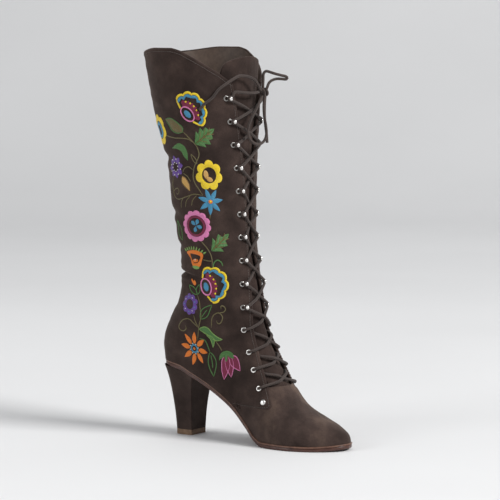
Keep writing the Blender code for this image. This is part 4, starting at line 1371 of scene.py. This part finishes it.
def rounded_ring(hole, radius, thick):
    """Profile of a domed eyelet flange, from the outer edge over the crown and down the barrel."""
    rows = [(radius, SINK)]
    for turn in np.linspace(0.0, math.pi, 9):
        middle = 0.5 * (hole + radius)
        rows.append((middle + 0.5 * (radius - hole) * math.cos(turn), thick * math.sin(turn)))
    rows.append((hole, -0.0020))
    return rows


def round_tube(points, radius, sides, parts, slot=0):
    """A closed tube along points, with texture places that count its length in widths."""
    points = np.asarray(points, dtype=float)
    ahead = unit(np.gradient(points, axis=0))
    side = np.cross(ahead[0], (0.0, 0.0, 1.0))
    if np.linalg.norm(side) < 0.1:
        side = np.cross(ahead[0], (1.0, 0.0, 0.0))
    side = side / np.linalg.norm(side)
    rows, uvs = [], []
    along = travelled(points)
    turn = np.linspace(0.0, 2.0 * math.pi, sides + 1)
    for i, point in enumerate(points):
        side = side - ahead[i] * float(side @ ahead[i])
        side = side / np.linalg.norm(side)
        top = np.cross(side, ahead[i])
        rows.append(point + radius * (np.cos(turn)[:, None] * side + np.sin(turn)[:, None] * top))
        uvs.append(np.column_stack((np.full(sides + 1, along[i] / (2.0 * radius)), turn / (2.0 * math.pi))))
    rows = [np.tile(points[0], (sides + 1, 1)), *rows, np.tile(points[-1], (sides + 1, 1))]
    uvs = [uvs[0], *uvs, uvs[-1]]
    parts.add(np.array(rows), grid_quads(len(rows), sides + 1), np.array(uvs), slot)


def add_hook(place, lift, parts):
    """The stem and the flattened ball of one hook, over its ring."""
    point, normal, inward, upward = place
    head = BALL_RADIUS + RING_THICKNESS + 0.0011
    start = 0.5 * (RING_HOLE + RING_RADIUS)
    spine = (
        (start, 0.0002),
        (start + 0.0009, 0.0011),
        (HOOK_REACH - 0.0005, 0.0022),
        (HOOK_REACH, head),
    )
    line = [point + inward * a + normal * (b + lift) for a, b in spine]
    round_tube(even_points(line, 0.0003)[0], STEM_RADIUS, 10, parts)
    centre = point + inward * HOOK_REACH + normal * (head + lift)
    turn = np.linspace(0.0, 2.0 * math.pi, 28, endpoint=False)
    wide, tall, deep = BALL_HALVES
    flat = np.cos(turn)[:, None] * inward * wide + np.sin(turn)[:, None] * upward * tall
    rows = []
    for angle in np.linspace(0.02, math.pi - 0.02, 17):
        rows.append(centre + math.sin(angle) * flat - math.cos(angle) * normal * deep)
    parts.add(rows, grid_quads(len(rows), len(turn), closed=True))


def build_fasteners():
    """The eyelets, the lowest ones closed by rivets, and the hooks above them."""
    rings = Collected()
    hooks = Collected()
    lift = OVERLAY
    profile = rounded_ring(RING_HOLE, RING_RADIUS, RING_THICKNESS)
    # A cup down each hole and across its foot, in the nearly black finish: painted shade inside the hole.
    floor = [(RING_HOLE, -0.0002), (RING_HOLE, -0.0026), (POINT, -0.0026)]
    dome = np.linspace(0.0, 0.5 * math.pi, 12)[:-1]
    rivet = [(RING_RADIUS, SINK)]
    rivet += [(RING_RADIUS * math.cos(a), 0.0002 + 0.0013 * math.sin(a)) for a in dome]
    rivet += [(POINT, 0.0015)]
    for side in (-1, 1):
        for level, z in enumerate(fastener_heights()):
            place = front_frame(z, row_place(z, side))
            low = level < len(EYELET_HEIGHTS)
            parts = rings if low else hooks
            if level == 0:
                turned(rivet, 36, place, lift, parts, 0)
                continue
            # Eyelet rings take the bright nickel; hook rings take the darker nickel, a painted dark
            # reflection.
            turned(profile, 36, place, lift, parts, 0 if low else 2)
            turned(floor, 24, place, lift, parts, 1)
            if not low:
                add_hook(place, lift, hooks)
    count = len(EYELET_HEIGHTS)
    eyelets = rings.build("eyelets", [NICKEL, BARREL_PAINTED_SHADE])
    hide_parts(*[f"eyelet_{w}_{i + 1:02d}" for w in ("medial", "lateral") for i in range(count)])
    speed = hooks.build("speed_hooks", [NICKEL, BARREL_PAINTED_SHADE, NICKEL_DARK_REFLECTION])
    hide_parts(*[f"hook_{w}_{i + 1:02d}" for w in ("medial", "lateral") for i in range(HOOK_COUNT)])
    for item in (eyelets, speed):
        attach(item, "root")


def lace_point(z, y, lift):
    point, normal, _, _ = front_frame(z, y)
    return point + normal * lift


# The lace's turn round a hook's stem: distance towards the opening, and height from the hook's middle.
HOOK_TURN = (
    (0.0056, -0.0020),
    (0.0030, -0.0016),
    (0.0018, 0.0),
    (0.0030, 0.0016),
    (0.0056, 0.0020),
)


def lace_run(first):
    """One half of the lace, from its lowest eyelet up to the top hook, in sides that take turns."""
    heights = fastener_heights()
    low = len(EYELET_HEIGHTS)
    side = first
    route = []
    for level in range(1, len(heights)):
        z = heights[level]
        row = row_place(z, side)
        edge = float(throat_half(z)) * side
        point, normal, inward, upward = front_frame(z, row)
        if level < low:
            below_z = z - 0.0035
            route.append(lace_point(below_z, float(throat_half(below_z)) * side * 0.86, -0.0012))
            route.append(lace_point(z - 0.0020, edge * 1.06, -0.0034))
            route.append(point + normal * -0.0030)
            route.append(point + normal * (OVERLAY + 0.0014) + inward * 0.0004)
            over_ring = OVERLAY + RING_THICKNESS + 0.0012
            route.append(point + normal * over_ring + inward * 0.0026 + upward * 0.0007)
            route.append(lace_point(z + 0.0022, edge * 1.02, OVERLAY + 0.0016))
        else:
            around = OVERLAY + RING_THICKNESS + 0.0015
            for reach, rise in HOOK_TURN:
                route.append(point + normal * around + inward * reach + upward * rise)
        if level == len(heights) - 1:
            break
        next_z = heights[level + 1]
        over = 0.0019 if (side > 0) == (level % 2 == 0) else -0.0005
        for share in (0.28, 0.5, 0.72):
            zz = z + 0.0022 + share * (next_z - z - 0.0044)
            start = row - side * 0.0050
            end = -row_place(next_z, side) + side * 0.0050
            yy = start + share * (end - start)
            rise = over if share == 0.5 else 0.5 * over + 0.0008
            route.append(lace_point(zz, yy, rise))
        side = -side
    return route, side


# The last strands, from beside the top hooks to the knot, as in the part's source.
LEAD_MEDIAL = (
    (0.0752, -0.0250, 0.3576),
    (0.0776, -0.0199, 0.3578),
    (0.0802, -0.0120, 0.3570),
    (0.0822, -0.0036, 0.3566),
    (0.0822, 0.0040, 0.3570),
    (0.0812, 0.0084, 0.3574),
)
LEAD_LATERAL = (
    (0.0768, 0.0262, 0.3578),
    (0.0800, 0.0228, 0.3572),
    (0.0827, 0.0204, 0.3557),
)


def build_lace():
    """Both halves of the lace and the bar that joins them behind the lowest laced eyelets."""
    routes = []
    for first in (-1, 1):
        route, last = lace_run(first)
        routes.append([*route, *(LEAD_LATERAL if last > 0 else LEAD_MEDIAL)])
    z = fastener_heights()[1] - BAR_DROP
    across = np.linspace(-BAR_HALF, BAR_HALF, 9)
    routes.append([lace_point(z, y, BAR_BOW * (1.0 - (y / 0.02) ** 2) - BAR_DEPTH) for y in across])
    parts = Collected()
    for route in routes:
        round_tube(even_points(route, LACE_STEP)[0], 0.5 * LACE, LACE_SIDES, parts)
    item = parts.build("lace_run", [LACE_FINISH])
    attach(item, "root")
    crossings = [f"lace_crossing_{i:02d}" for i in range(1, 14)]
    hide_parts(*crossings, "lace_lead_medial", "lace_lead_lateral")


# Seams.


STITCH_PITCH = 0.0027
STITCH_LENGTH = 0.0021
STITCH_RADIUS = 0.00028
BACK_STITCH_RADIUS = 0.00026

# How far the stitches lie from the front edge, from the collar and from the back seam.
FRONT_INSET = 0.0021
COLLAR_INSET = 0.0024
BACK_INSET = 0.0018


def stitch_line(points, normals, parts, radius=STITCH_RADIUS):
    """A row of raised stitches along a line on the leather."""
    along = travelled(points)
    for i in range(int(along[-1] / STITCH_PITCH)):
        at = (i + 0.5) * STITCH_PITCH + np.linspace(-0.5, 0.5, 5) * STITCH_LENGTH
        if at[0] < 0.0 or at[-1] > along[-1]:
            continue
        normal = unit(sampled(at, along, normals))
        rise = np.array([-0.5, 0.35, 0.6, 0.35, -0.5]) * radius
        round_tube(sampled(at, along, points) + normal * rise[:, None], radius, 6, parts)


def inset_line(points, normals, inset):
    """A line through the rows of a grid, a set distance from each row's last point, with normals."""
    line, facing = [], []
    for row, out in zip(points[:, ::-1], normals[:, ::-1]):
        along = travelled(row)
        line.append(sampled([inset], along, row)[0])
        facing.append(sampled([inset], along, out)[0])
    return np.array(line), np.array(facing)


def build_seams(sides):
    parts = Collected()
    for side in sides:
        line, normals = inset_line(side.points, side.normal, FRONT_INSET)
        keep = line[:, 2] > feather_z(line[:, 0]) + 0.002
        stitch_line(line[keep], normals[keep], parts)
        upward = (grid.swapaxes(0, 1) for grid in (side.points, side.normal))
        stitch_line(*inset_line(*upward, COLLAR_INSET), parts)
        rows = len(side.points)
        first = int(np.searchsorted(travelled(side.points[rows // 2])[1:], BACK_INSET))
        part = slice(2, rows - 4)
        stitch_line(side.points[part, first], side.normal[part, first], parts, BACK_STITCH_RADIUS)
    item = parts.build("seam_stitches", [SEAM_THREAD])
    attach(item, "root")


# Embroidery. Places are in mm: round to the front from the line at CHART_X, and up from the floor.


THREADS = (
    ("thread_yellow", (232, 200, 38)),
    ("thread_blue", (66, 136, 172)),
    ("thread_pink", (216, 124, 172)),
    ("thread_maroon", (118, 22, 62)),
    ("thread_green", (72, 116, 60)),
    ("thread_vein", (116, 92, 52)),
    ("thread_stem", (102, 94, 60)),
    ("thread_orange", (224, 118, 30)),
    ("thread_purple", (98, 66, 146)),
    ("thread_tan", (200, 156, 88)),
    ("thread_white", (222, 220, 208)),
    ("thread_lime", (118, 154, 80)),
)
YELLOW, BLUE, PINK, MAROON, GREEN, VEIN, STEM, ORANGE, PURPLE, TAN, WHITE, LIME = range(len(THREADS))


def thread(name, dye):
    """Satin stitch: close glossy strands that lie across each shape, with painted shade in the gaps between
    strands and random unevenness.
    """
    item, tree, shader = shader_of(name)
    colour = tuple((value / 255.0) ** 2.2 for value in dye)
    # A darker copy of the dye for the gaps between strands: painted shade, made uneven by noise.
    strand_gap_shade = tuple(0.72 * value for value in colour)
    split = tree.nodes.new("ShaderNodeSeparateXYZ")
    tree.links.new(place_of(tree, "UV"), split.inputs[0])
    strand = maths(tree, "SINE", maths(tree, "MULTIPLY", split.outputs[0], 2.0 * math.pi))
    uneven = maths(tree, "MULTIPLY", noise(tree, 900.0, 2.0), 0.8)
    height = maths(tree, "MULTIPLY_ADD", strand, 0.5, uneven)
    tree.links.new(ramp(tree, height, (0.0, strand_gap_shade), (0.62, colour)), shader.inputs["Base Color"])
    gloss = {"Roughness": 0.5, "Specular IOR Level": 0.4}
    set_inputs(shader, {**gloss, "Sheen Weight": 0.12, "Sheen Roughness": 0.4})
    bump(tree, shader, height, 0.00014, 0.8)
    return item


def placed(shape, centre, turn=0.0):
    """A flat shape turned and moved to its place."""
    c, s = math.cos(math.radians(turn)), math.sin(math.radians(turn))
    shape = np.asarray(shape, dtype=float)
    return np.column_stack((c * shape[:, 0] - s * shape[:, 1], s * shape[:, 0] + c * shape[:, 1])) + centre


def polar(radius, degrees, squash=1.0):
    angle = np.radians(degrees)
    return np.column_stack((radius * np.cos(angle), squash * radius * np.sin(angle)))


def spot(centre, reach, degrees, turn=0.0):
    """One place at a distance and an angle from a middle."""
    return placed(polar(np.array([reach]), np.array([degrees])), centre, turn)[0]


def lobes(count, start, degrees, sharp=0.6):
    """Rounded lobes around a circle: 0 in the notches, 1 at the crowns."""
    return np.abs(np.sin(0.5 * count * np.radians(degrees - start))) ** sharp


# Width of one strand of thread, in millimetres.
STRAND = 0.5


class Threadwork:
    """The stitches of one side, laid over its leather."""

    def __init__(self, side):
        self.side = side
        self.parts = Collected()

    def band(self, first, second, colour, rise=0.5, base=0.0):
        """Stitches across from one line to the other, raised in the middle."""
        across = np.linspace(0.0, 1.0, 7)
        first, second = np.asarray(first, dtype=float), np.asarray(second, dtype=float)
        flat = first[:, None] + (second - first)[:, None] * across[None, :, None]
        points, normal = self.side.on(flat[..., 0], flat[..., 1])
        width = np.linalg.norm(second - first, axis=1)
        crown = np.sqrt(np.clip(1.0 - (2.0 * across - 1.0) ** 2, 0.0, 1.0))
        height = base - 0.10 + (0.10 + np.minimum(rise, 0.4 * width))[:, None] * crown
        middle = 0.5 * (first + second)
        strands = travelled(middle) / STRAND
        uvs = np.stack(np.broadcast_arrays(strands[:, None], across[None, :]), axis=-1)
        verts = points + normal * (0.001 * height)[..., None]
        self.parts.add(verts, grid_quads(len(first), 7), uvs, colour)

    def mirrored(self, upper, centre, turn, colour, rise, base):
        """Stitches from a line to its mirror image, for a shape placed and turned as a whole."""
        lower = upper * (1.0, -1.0)
        self.band(placed(upper, centre, turn), placed(lower, centre, turn), colour, rise, base)

    def ribbon(self, places, width, colour, base=0.0, fine=True):
        """A line of stitches along a route, narrower at both ends."""
        line = np.asarray(places, dtype=float)
        if fine:
            padded = np.column_stack((line, np.zeros(len(line))))
            line = even_points(padded, 0.7)[0][:, :2]
        ahead = unit(np.gradient(line, axis=0))
        across = np.column_stack((-ahead[:, 1], ahead[:, 0]))
        share = np.linspace(0.0, 1.0, len(line))
        ends = 0.45 + 0.55 * np.minimum(ease(0.0, 0.12, share), 1.0 - ease(0.88, 1.0, share))
        half = 0.5 * width * across * ends[:, None]
        self.band(line - half, line + half, colour, 0.42, base)

    def dot(self, centre, radius, colour, base=0.35):
        self.mirrored(polar(radius, np.linspace(0.0, 180.0, 9)), centre, 0.0, colour, 0.45, base)

    def petal(self, centre, turn, start, length, width, colour, belly=0.45, base=0.0):
        """A pointed petal that grows from a middle."""
        share = np.linspace(0.0, 1.0, max(int(length / 0.6), 8))
        power = math.log(0.5) / math.log(belly)
        half = 0.5 * width * np.sin(math.pi * share**power) ** 0.9
        upper = np.column_stack((start + share * length, half))
        self.mirrored(upper, centre, turn, colour, 0.5, base)

    def outline_leaf(self, base_at, tip, width, colour, line=1.1, inner=None):
        """A leaf drawn as two curved lines from its base to its tip, with or without a line inside."""
        base_at, tip = np.array(base_at, dtype=float), np.array(tip, dtype=float)
        run = tip - base_at
        across = np.array([-run[1], run[0]]) / np.linalg.norm(run)
        share = np.linspace(0.0, 1.0, 9)
        belly = np.sin(math.pi * share**0.85)
        for sign in (-1.0, 1.0):
            bow = sign * 0.5 * width * across * belly[:, None]
            self.ribbon(base_at + run * share[:, None] + bow, line, colour)
        if inner is not None:
            self.ribbon([base_at + run * s for s in (0.12, 0.4, 0.66)], line, inner)

    def toothed_leaf(self, base_at, tip, width, teeth, bite, colour, veins):
        """A filled leaf with pointed teeth that lean forward, and veins over the fill."""
        base_at, tip = np.array(base_at, dtype=float), np.array(tip, dtype=float)
        length = float(np.linalg.norm(tip - base_at))
        turn = math.degrees(math.atan2(*(tip - base_at)[::-1]))
        share = np.linspace(0.0, 1.0, 90)
        spine = np.column_stack((share * length, np.zeros(90)))
        tooth = (share * teeth) % 1.0
        tooth = np.where(tooth < 0.72, tooth / 0.72, (1.0 - tooth) / 0.28)
        reach = np.sin(math.pi * share**0.62) ** (0.75 + 0.7 * share**3) * (1.0 - bite + bite * tooth)
        for sign in (-1.0, 1.0):
            lean = 0.16 * length * reach * (1.0 - share)
            edge = np.column_stack((share * length + lean, sign * 0.5 * width * reach))
            self.band(placed(spine, base_at, turn), placed(edge, base_at, turn), colour, 0.45)
        middle = [(share * length, 0.0) for share in (0.08, 0.45, 0.82)]
        self.ribbon(placed(middle, base_at, turn), 0.8, veins, 0.3)
        for s in (0.22, 0.42, 0.60):
            for sign in (-1.0, 1.0):
                aside = sign * 0.30 * width * math.sin(math.pi * (s + 0.12) ** 0.7)
                end = (s * length + 0.24 * length, aside)
                self.ribbon(placed([(s * length, 0.0), end], base_at, turn), 0.7, veins, 0.3)

    def scalloped(self, centre, outer, inner, count, depth, colour, start=0.0, squash=1.0):
        """A ring with rounded lobes outside and a plain edge inside."""
        degrees = np.linspace(0.0, 360.0, max(count * 14, 90))
        crown = outer - depth * (1.0 - lobes(count, start, degrees))
        rows = [placed(polar(radius, degrees, squash), centre) for radius in (crown, inner)]
        self.band(rows[0], rows[1], colour)

    def disc(self, centre, wide, high, colour, turn=0.0, base=0.0):
        angles = np.linspace(0.0, 180.0, 25)
        upper = np.column_stack((wide * np.cos(np.radians(angles)), high * np.sin(np.radians(angles))))
        self.mirrored(upper, centre, turn, colour, 0.5, base)

    def fan_flower(self, centre, turn, size, long):
        """A half-open flower: an eye at its foot and scalloped bands that fan out to one side."""
        degrees = np.linspace(-84.0, 84.0, 150)
        crown = lobes(2 * 6 * 180.0 / 168.0, -84.0, degrees, 0.55)
        stretch = 1.0 + (long - 1.0) * np.cos(np.radians(degrees)) ** 2
        outer = size * stretch * (0.90 + 0.10 * crown)
        points = lobes(2 * 9 * 180.0 / 168.0, -84.0, degrees, 1.0)
        rows = [outer, outer - 2.7, outer - 2.9, outer - 5.2 - 1.3 * points]
        lines = [placed(polar(row, degrees), centre, turn) for row in rows]
        self.band(lines[0], lines[1], YELLOW)
        self.band(lines[2], lines[3], BLUE)
        inner = np.linspace(-74.0, 74.0, 120)
        spikes = np.abs(np.sin(np.radians(inner + 74.0) * 6.0 * 90.0 / 74.0))
        foot = 9.4 * 6.6 / np.hypot(9.4 * np.cos(np.radians(inner)), 6.6 * np.sin(np.radians(inner)))
        crest = foot + (0.17 * size + 1.2 * (long - 0.9)) + 2.6 * spikes
        lines = [placed(polar(row, inner), centre, turn) for row in (crest, foot - 0.2)]
        self.band(lines[0], lines[1], MAROON)
        for i in range(5):
            angle = -74.0 + 148.0 * (i + 1.0) / 6.0
            reach = float(np.interp(angle, inner, crest)) + 0.6
            self.dot(spot(centre, reach, angle, turn), 1.0, YELLOW)
        ring = np.linspace(0.0, 360.0, 70)
        oval = np.column_stack((6.6 * np.cos(np.radians(ring)), 9.4 * np.sin(np.radians(ring))))
        self.band(placed(oval, centre, turn), placed(oval * (0.76, 0.83), centre, turn), PINK)
        self.disc(centre, 2.7, 5.0, BLUE, turn)
        for sign in (-1.0, 1.0):
            far = np.array([0.10, 0.99 * sign]) * (outer[0] - 1.3)
            route = [far, (far[0] - 2.0, 0.72 * far[1]), (-1.6, sign * 9.4)]
            self.ribbon(placed(route, centre, turn), 2.2, YELLOW)

    def between(self, first, second, colour, closed=False, base=0.0, edge=None):
        """Stitches that fill the space between two smooth lines, closed into rings if asked."""
        lines = []
        for places in (first, second):
            knots = [(x, y, 0.0) for x, y in places]
            if closed:
                fine = smooth_route(knots[-2:] + knots + knots[:3])[1][48:-48:3]
                lines.append(fine[:, :2])
                continue
            along, fine = smooth_route(knots)
            lines.append(sampled(np.linspace(0.0, along[-1], 70), along, fine[:, :2]))
        self.band(lines[0], lines[1], colour, 0.5, base)
        if edge is not None:
            for line in lines:
                self.ribbon(line, 1.0, edge, base + 0.15, fine=False)


# Stems and tendrils: width, then places, all in millimetres on the chart.
STEMS = (
    (1.3, (-13, 319), (-7, 313), (0, 306), (3, 301), (4, 294), (0, 286), (-3, 279), (-4, 272),
     (-2, 265), (6, 253)),
    (1.3, (-38, 313), (-24, 311), (-14, 311), (-6, 310), (0, 306)),
    (1.1, (-17, 276), (-14, 280), (-9, 282), (-4, 279)),
    (1.2, (-34, 271), (-37, 262), (-35, 254), (-31, 249), (-25, 248), (-14, 251), (-4, 254), (6, 253)),
    (1.1, (-35, 255), (-32, 258), (-27, 259), (-25, 256), (-27, 253), (-30, 254)),
    (1.0, (-18, 250), (-22, 245), (-23, 239)),
    (1.0, (-9, 252), (-14, 247), (-16, 240)),
    (1.0, (-1, 253), (-6, 248), (-8, 242)),
    (1.2, (14, 243), (13, 236), (12, 229)),
    (1.2, (1, 206), (7, 200), (11, 194), (13, 187), (13, 179)),
    (1.1, (2, 187), (8, 186), (13, 186)),
    (1.3, (-5, 151), (-2, 141), (-1, 134), (-2, 127), (-6, 116), (-10, 103)),
    (1.2, (-11, 129), (-9, 122), (-6, 116)),
    (1.3, (-6, 116), (-12, 121), (-18, 125), (-27, 123), (-33, 117), (-32, 113), (-27, 112),
     (-23, 115), (-24, 118)),
    (1.3, (10, 117), (11, 124), (14, 130), (20, 133), (24, 130), (24, 126), (21, 122), (18, 122), (17, 125)),
    (1.2, (21, 133), (26, 134), (28, 137), (26, 140), (23, 140), (23, 137)),
    (1.1, (13, 104), (18, 98), (21, 93)),
)


# Veins of the leaf at the top: start and end.
LEAF_VEINS = (
    ((-12, 318), (-28, 327)),
    ((-16, 319), (-18, 325)),
    ((-21, 321), (-24, 327)),
    ((-18, 321), (-25, 320)),
)

# The tulip's petals: foot, tip and width. Each petal's outline: share of its length, share of half its width.
TULIP = (
    ((26, 89), (25.5, 63.5), 10.5),
    ((31, 88), (45, 74), 10.5),
    ((28, 89), (34, 66.5), 10.0),
)
TULIP_PETAL = ((0.0, 0.3), (0.25, 0.95), (0.55, 0.9), (0.85, 0.35), (1.0, 0.0))


def embroider(side):
    """The trail of flowers and leaves up one quarter, in satin stitch."""
    work = Threadwork(side)
    for width, *places in STEMS:
        work.ribbon(places, width, STEM, -0.05)
    work.ribbon([(14, 178), (15, 184), (19, 187), (23, 185), (25, 181)], 1.3, GREEN)
    work.ribbon([(-7, 105), (0, 103), (3, 97), (5, 91)], 1.3, GREEN)
    work.fan_flower((-4.8, 335.7), 45.0, 21.5, 1.15)
    work.fan_flower((6.1, 159.3), 18.0, 19.8, 1.34)
    build_upper_motifs(work)
    build_lower_motifs(work)
    item = work.parts.build(f"embroidery_{side.word}", [thread(name, dye) for name, dye in THREADS])
    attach(item, "root")


def build_upper_motifs(work):
    work.scalloped((-53.5, 318.0), 16.5, 9.2, 7, 3.4, YELLOW, 20.0)
    work.scalloped((-53.5, 318.0), 8.8, 5.0, 7, 0.0, BLUE)
    work.between(
        [(-12, 317), (-12, 322), (-18, 327), (-26, 331), (-34, 330)],
        [(-12, 317), (-19, 316), (-25, 318), (-29, 323), (-34, 330)],
        STEM,
        edge=GREEN,
    )
    for start, end in LEAF_VEINS:
        work.ribbon([start, 0.5 * (np.array(start) + end), end], 0.8, VEIN, 0.3)
    work.toothed_leaf((0.8, 305.5), (25.7, 321.5), 22.0, 4, 0.42, GREEN, VEIN)
    work.between(
        [(-31, 300), (-24, 304), (-18, 306), (-12, 303), (-9, 297), (-9, 288)],
        [(-31, 300), (-23, 299.5), (-17, 297), (-14, 292), (-9, 288)],
        GREEN,
    )
    work.outline_leaf((1, 285), (-5, 295), 3.4, STEM)
    for i in range(8):
        work.petal((-28.0, 281.0), 45.0 * i + 10.0, 3.6, 8.2, 6.4, PURPLE, 0.5)
        for reach, turn in ((4.6, 10.0), (8.4, 32.0)):
            work.dot(spot((-28.0, 281.0), reach, 45.0 * i + turn), 0.7, WHITE)
    work.between(
        [(-18, 272), (-13, 270), (-9, 264), (-9, 257)],
        [(-18, 272), (-19, 266), (-15, 261), (-9, 257)],
        TAN,
        edge=VEIN,
    )
    work.ribbon([(-16, 275), (-11, 272), (-7, 267)], 1.1, STEM)
    middle = np.array((14.1, 273.7))
    work.scalloped(middle, 15.6, 7.8, 7, 4.2, YELLOW, 12.0, 1.02)
    work.disc(middle + (-3.6, 0.6), 2.6, 4.8, TAN, 12.0)
    work.disc(middle + (0.4, -4.4), 3.6, 2.6, TAN, -20.0)
    for i in range(7):
        work.petal((14.0, 246.7), 8.0 + 51.4 * i, 0.8, 13.4, 5.4, BLUE, 0.42)
    work.dot((14.0, 246.7), 2.3, ORANGE, 0.4)
    work.dot((14.2, 246.9), 1.0, YELLOW, 0.8)
    middle = np.array((-4.6, 221.2))
    work.scalloped(middle, 17.8, 11.6, 12, 2.6, PINK, 8.0, 0.93)
    work.scalloped(middle, 11.3, 8.8, 3, 0.0, MAROON, 0.0, 0.95)
    for turn in (68.0, 142.0, 252.0, 342.0):
        work.petal(middle + (0.6, 0.6), turn, 0.2, 7.0, 4.6, BLUE, 0.62)


def build_lower_motifs(work):
    work.outline_leaf((-27, 205), (-34, 226), 7.0, GREEN)
    work.toothed_leaf((12.7, 196.3), (33.5, 214.7), 20.0, 3, 0.62, GREEN, VEIN)
    outline = [(-20, 194), (-15, 188), (-12, 181), (-7, 177), (-1, 180), (1, 186), (3, 192)]
    outline += [(-1, 195.5), (-8, 196.5)]
    hollow = [(-14.5, 192), (-13, 187), (-11, 184.5), (-8, 183), (-4, 184), (-2, 187), (-1, 190)]
    hollow += [(-5, 191.5), (-10, 192)]
    work.between(outline, hollow, ORANGE, closed=True)
    work.disc((-7.5, 185.5), 3.8, 2.0, ORANGE, 0.0)
    work.dot((-7.5, 186.5), 0.8, WHITE, 0.5)
    work.disc((-6.5, 178.8), 4.4, 2.0, LIME, -5.0, 0.3)
    for i in range(9):
        share = i / 8.0
        foot = (-20.0 + 23.0 * share, 194.5 + 2.4 * math.sin(math.pi * share) - 1.5 * share)
        work.petal(foot, 140.0 - 110.0 * share, 0.0, 4.6, 1.9, LIME, 0.35)
    for turn, length in ((128.0, 9.0), (96.0, 6.0)):
        work.petal((-7.5, 160.0), turn, 0.0, length, 3.2, ORANGE, 0.4)
    work.outline_leaf((-4.5, 151), (-17, 160), 6.0, GREEN)
    work.outline_leaf((-4.5, 151), (-2, 161.5), 5.0, GREEN)
    middle = (-15.5, 140.3)
    work.scalloped(middle, 11.3, 5.0, 9, 2.4, PURPLE, 0.0)
    for i in range(9):
        work.dot(spot(middle, 7.6, 40.0 * i + 20.0), 0.75, WHITE if i % 2 else BLUE)
    work.outline_leaf((-3, 125.5), (12.5, 141), 8.5, GREEN, 1.1, GREEN)
    upper = [(-6, 115), (1, 117.5), (6, 116), (11, 111), (17, 107), (22.5, 105)]
    lower = [(-6, 115), (0, 111.5), (6, 108.5), (10, 105.5), (15, 103.5), (22.5, 105)]
    work.between(upper, lower, GREEN, edge=LIME)
    upper = [(3, 109), (9, 108), (12.5, 104), (10, 96)]
    work.between(upper, [(3, 109), (7, 105.5), (8.8, 101), (10, 96)], GREEN, edge=LIME)
    middle = np.array((-16.5, 93.8))
    for i in range(8):
        work.petal(middle, 45.0 * i - 12.0, 5.4, 12.8, 6.0, ORANGE, 0.42)
        work.dot(spot(middle, 5.6, 45.0 * i + 10.0), 0.7, WHITE)
    work.scalloped(middle, 4.9, 3.0, 3, 0.0, BLUE)
    work.dot(middle, 1.5, ORANGE)
    work.outline_leaf((5, 91), (9.5, 66), 11.5, GREEN, 1.4, GREEN)
    for foot, tip, width in TULIP:
        run = np.array(tip, dtype=float) - foot
        across = np.array([-run[1], run[0]]) / np.linalg.norm(run) * 0.5 * width
        left, right = (
            [np.array(foot) + run * s + sign * across * w for s, w in TULIP_PETAL] for sign in (1.0, -1.0)
        )
        work.between(left, right, MAROON, edge=PINK)
    for turn, length in ((-142.0, 12.0), (-92.0, 10.0), (-32.0, 11.0)):
        work.petal((26.5, 91.5), turn, 0.0, length, 4.4, GREEN, 0.45, 0.3)
    work.ribbon([(17.5, 83), (20, 89.5), (26.5, 92.5), (32.5, 91), (35.5, 87)], 1.8, GREEN, 0.3)


def build_boot():
    sides = [Side(False), Side(True)]
    for side in sides:
        build_quarter(side)
        embroider(side)
    build_vamp()
    build_tongue()
    build_soles()
    build_heel()
    build_fasteners()
    build_lace()
    build_seams(sides)


build_stage()
build_cords()
build_boot()

lined = smooth_leather("insole_leather", (0.22, 0.15, 0.10), (0.32, 0.23, 0.16), 0.6)
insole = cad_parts["insole"]
insole.data.materials.clear()
insole.data.materials.append(lined)
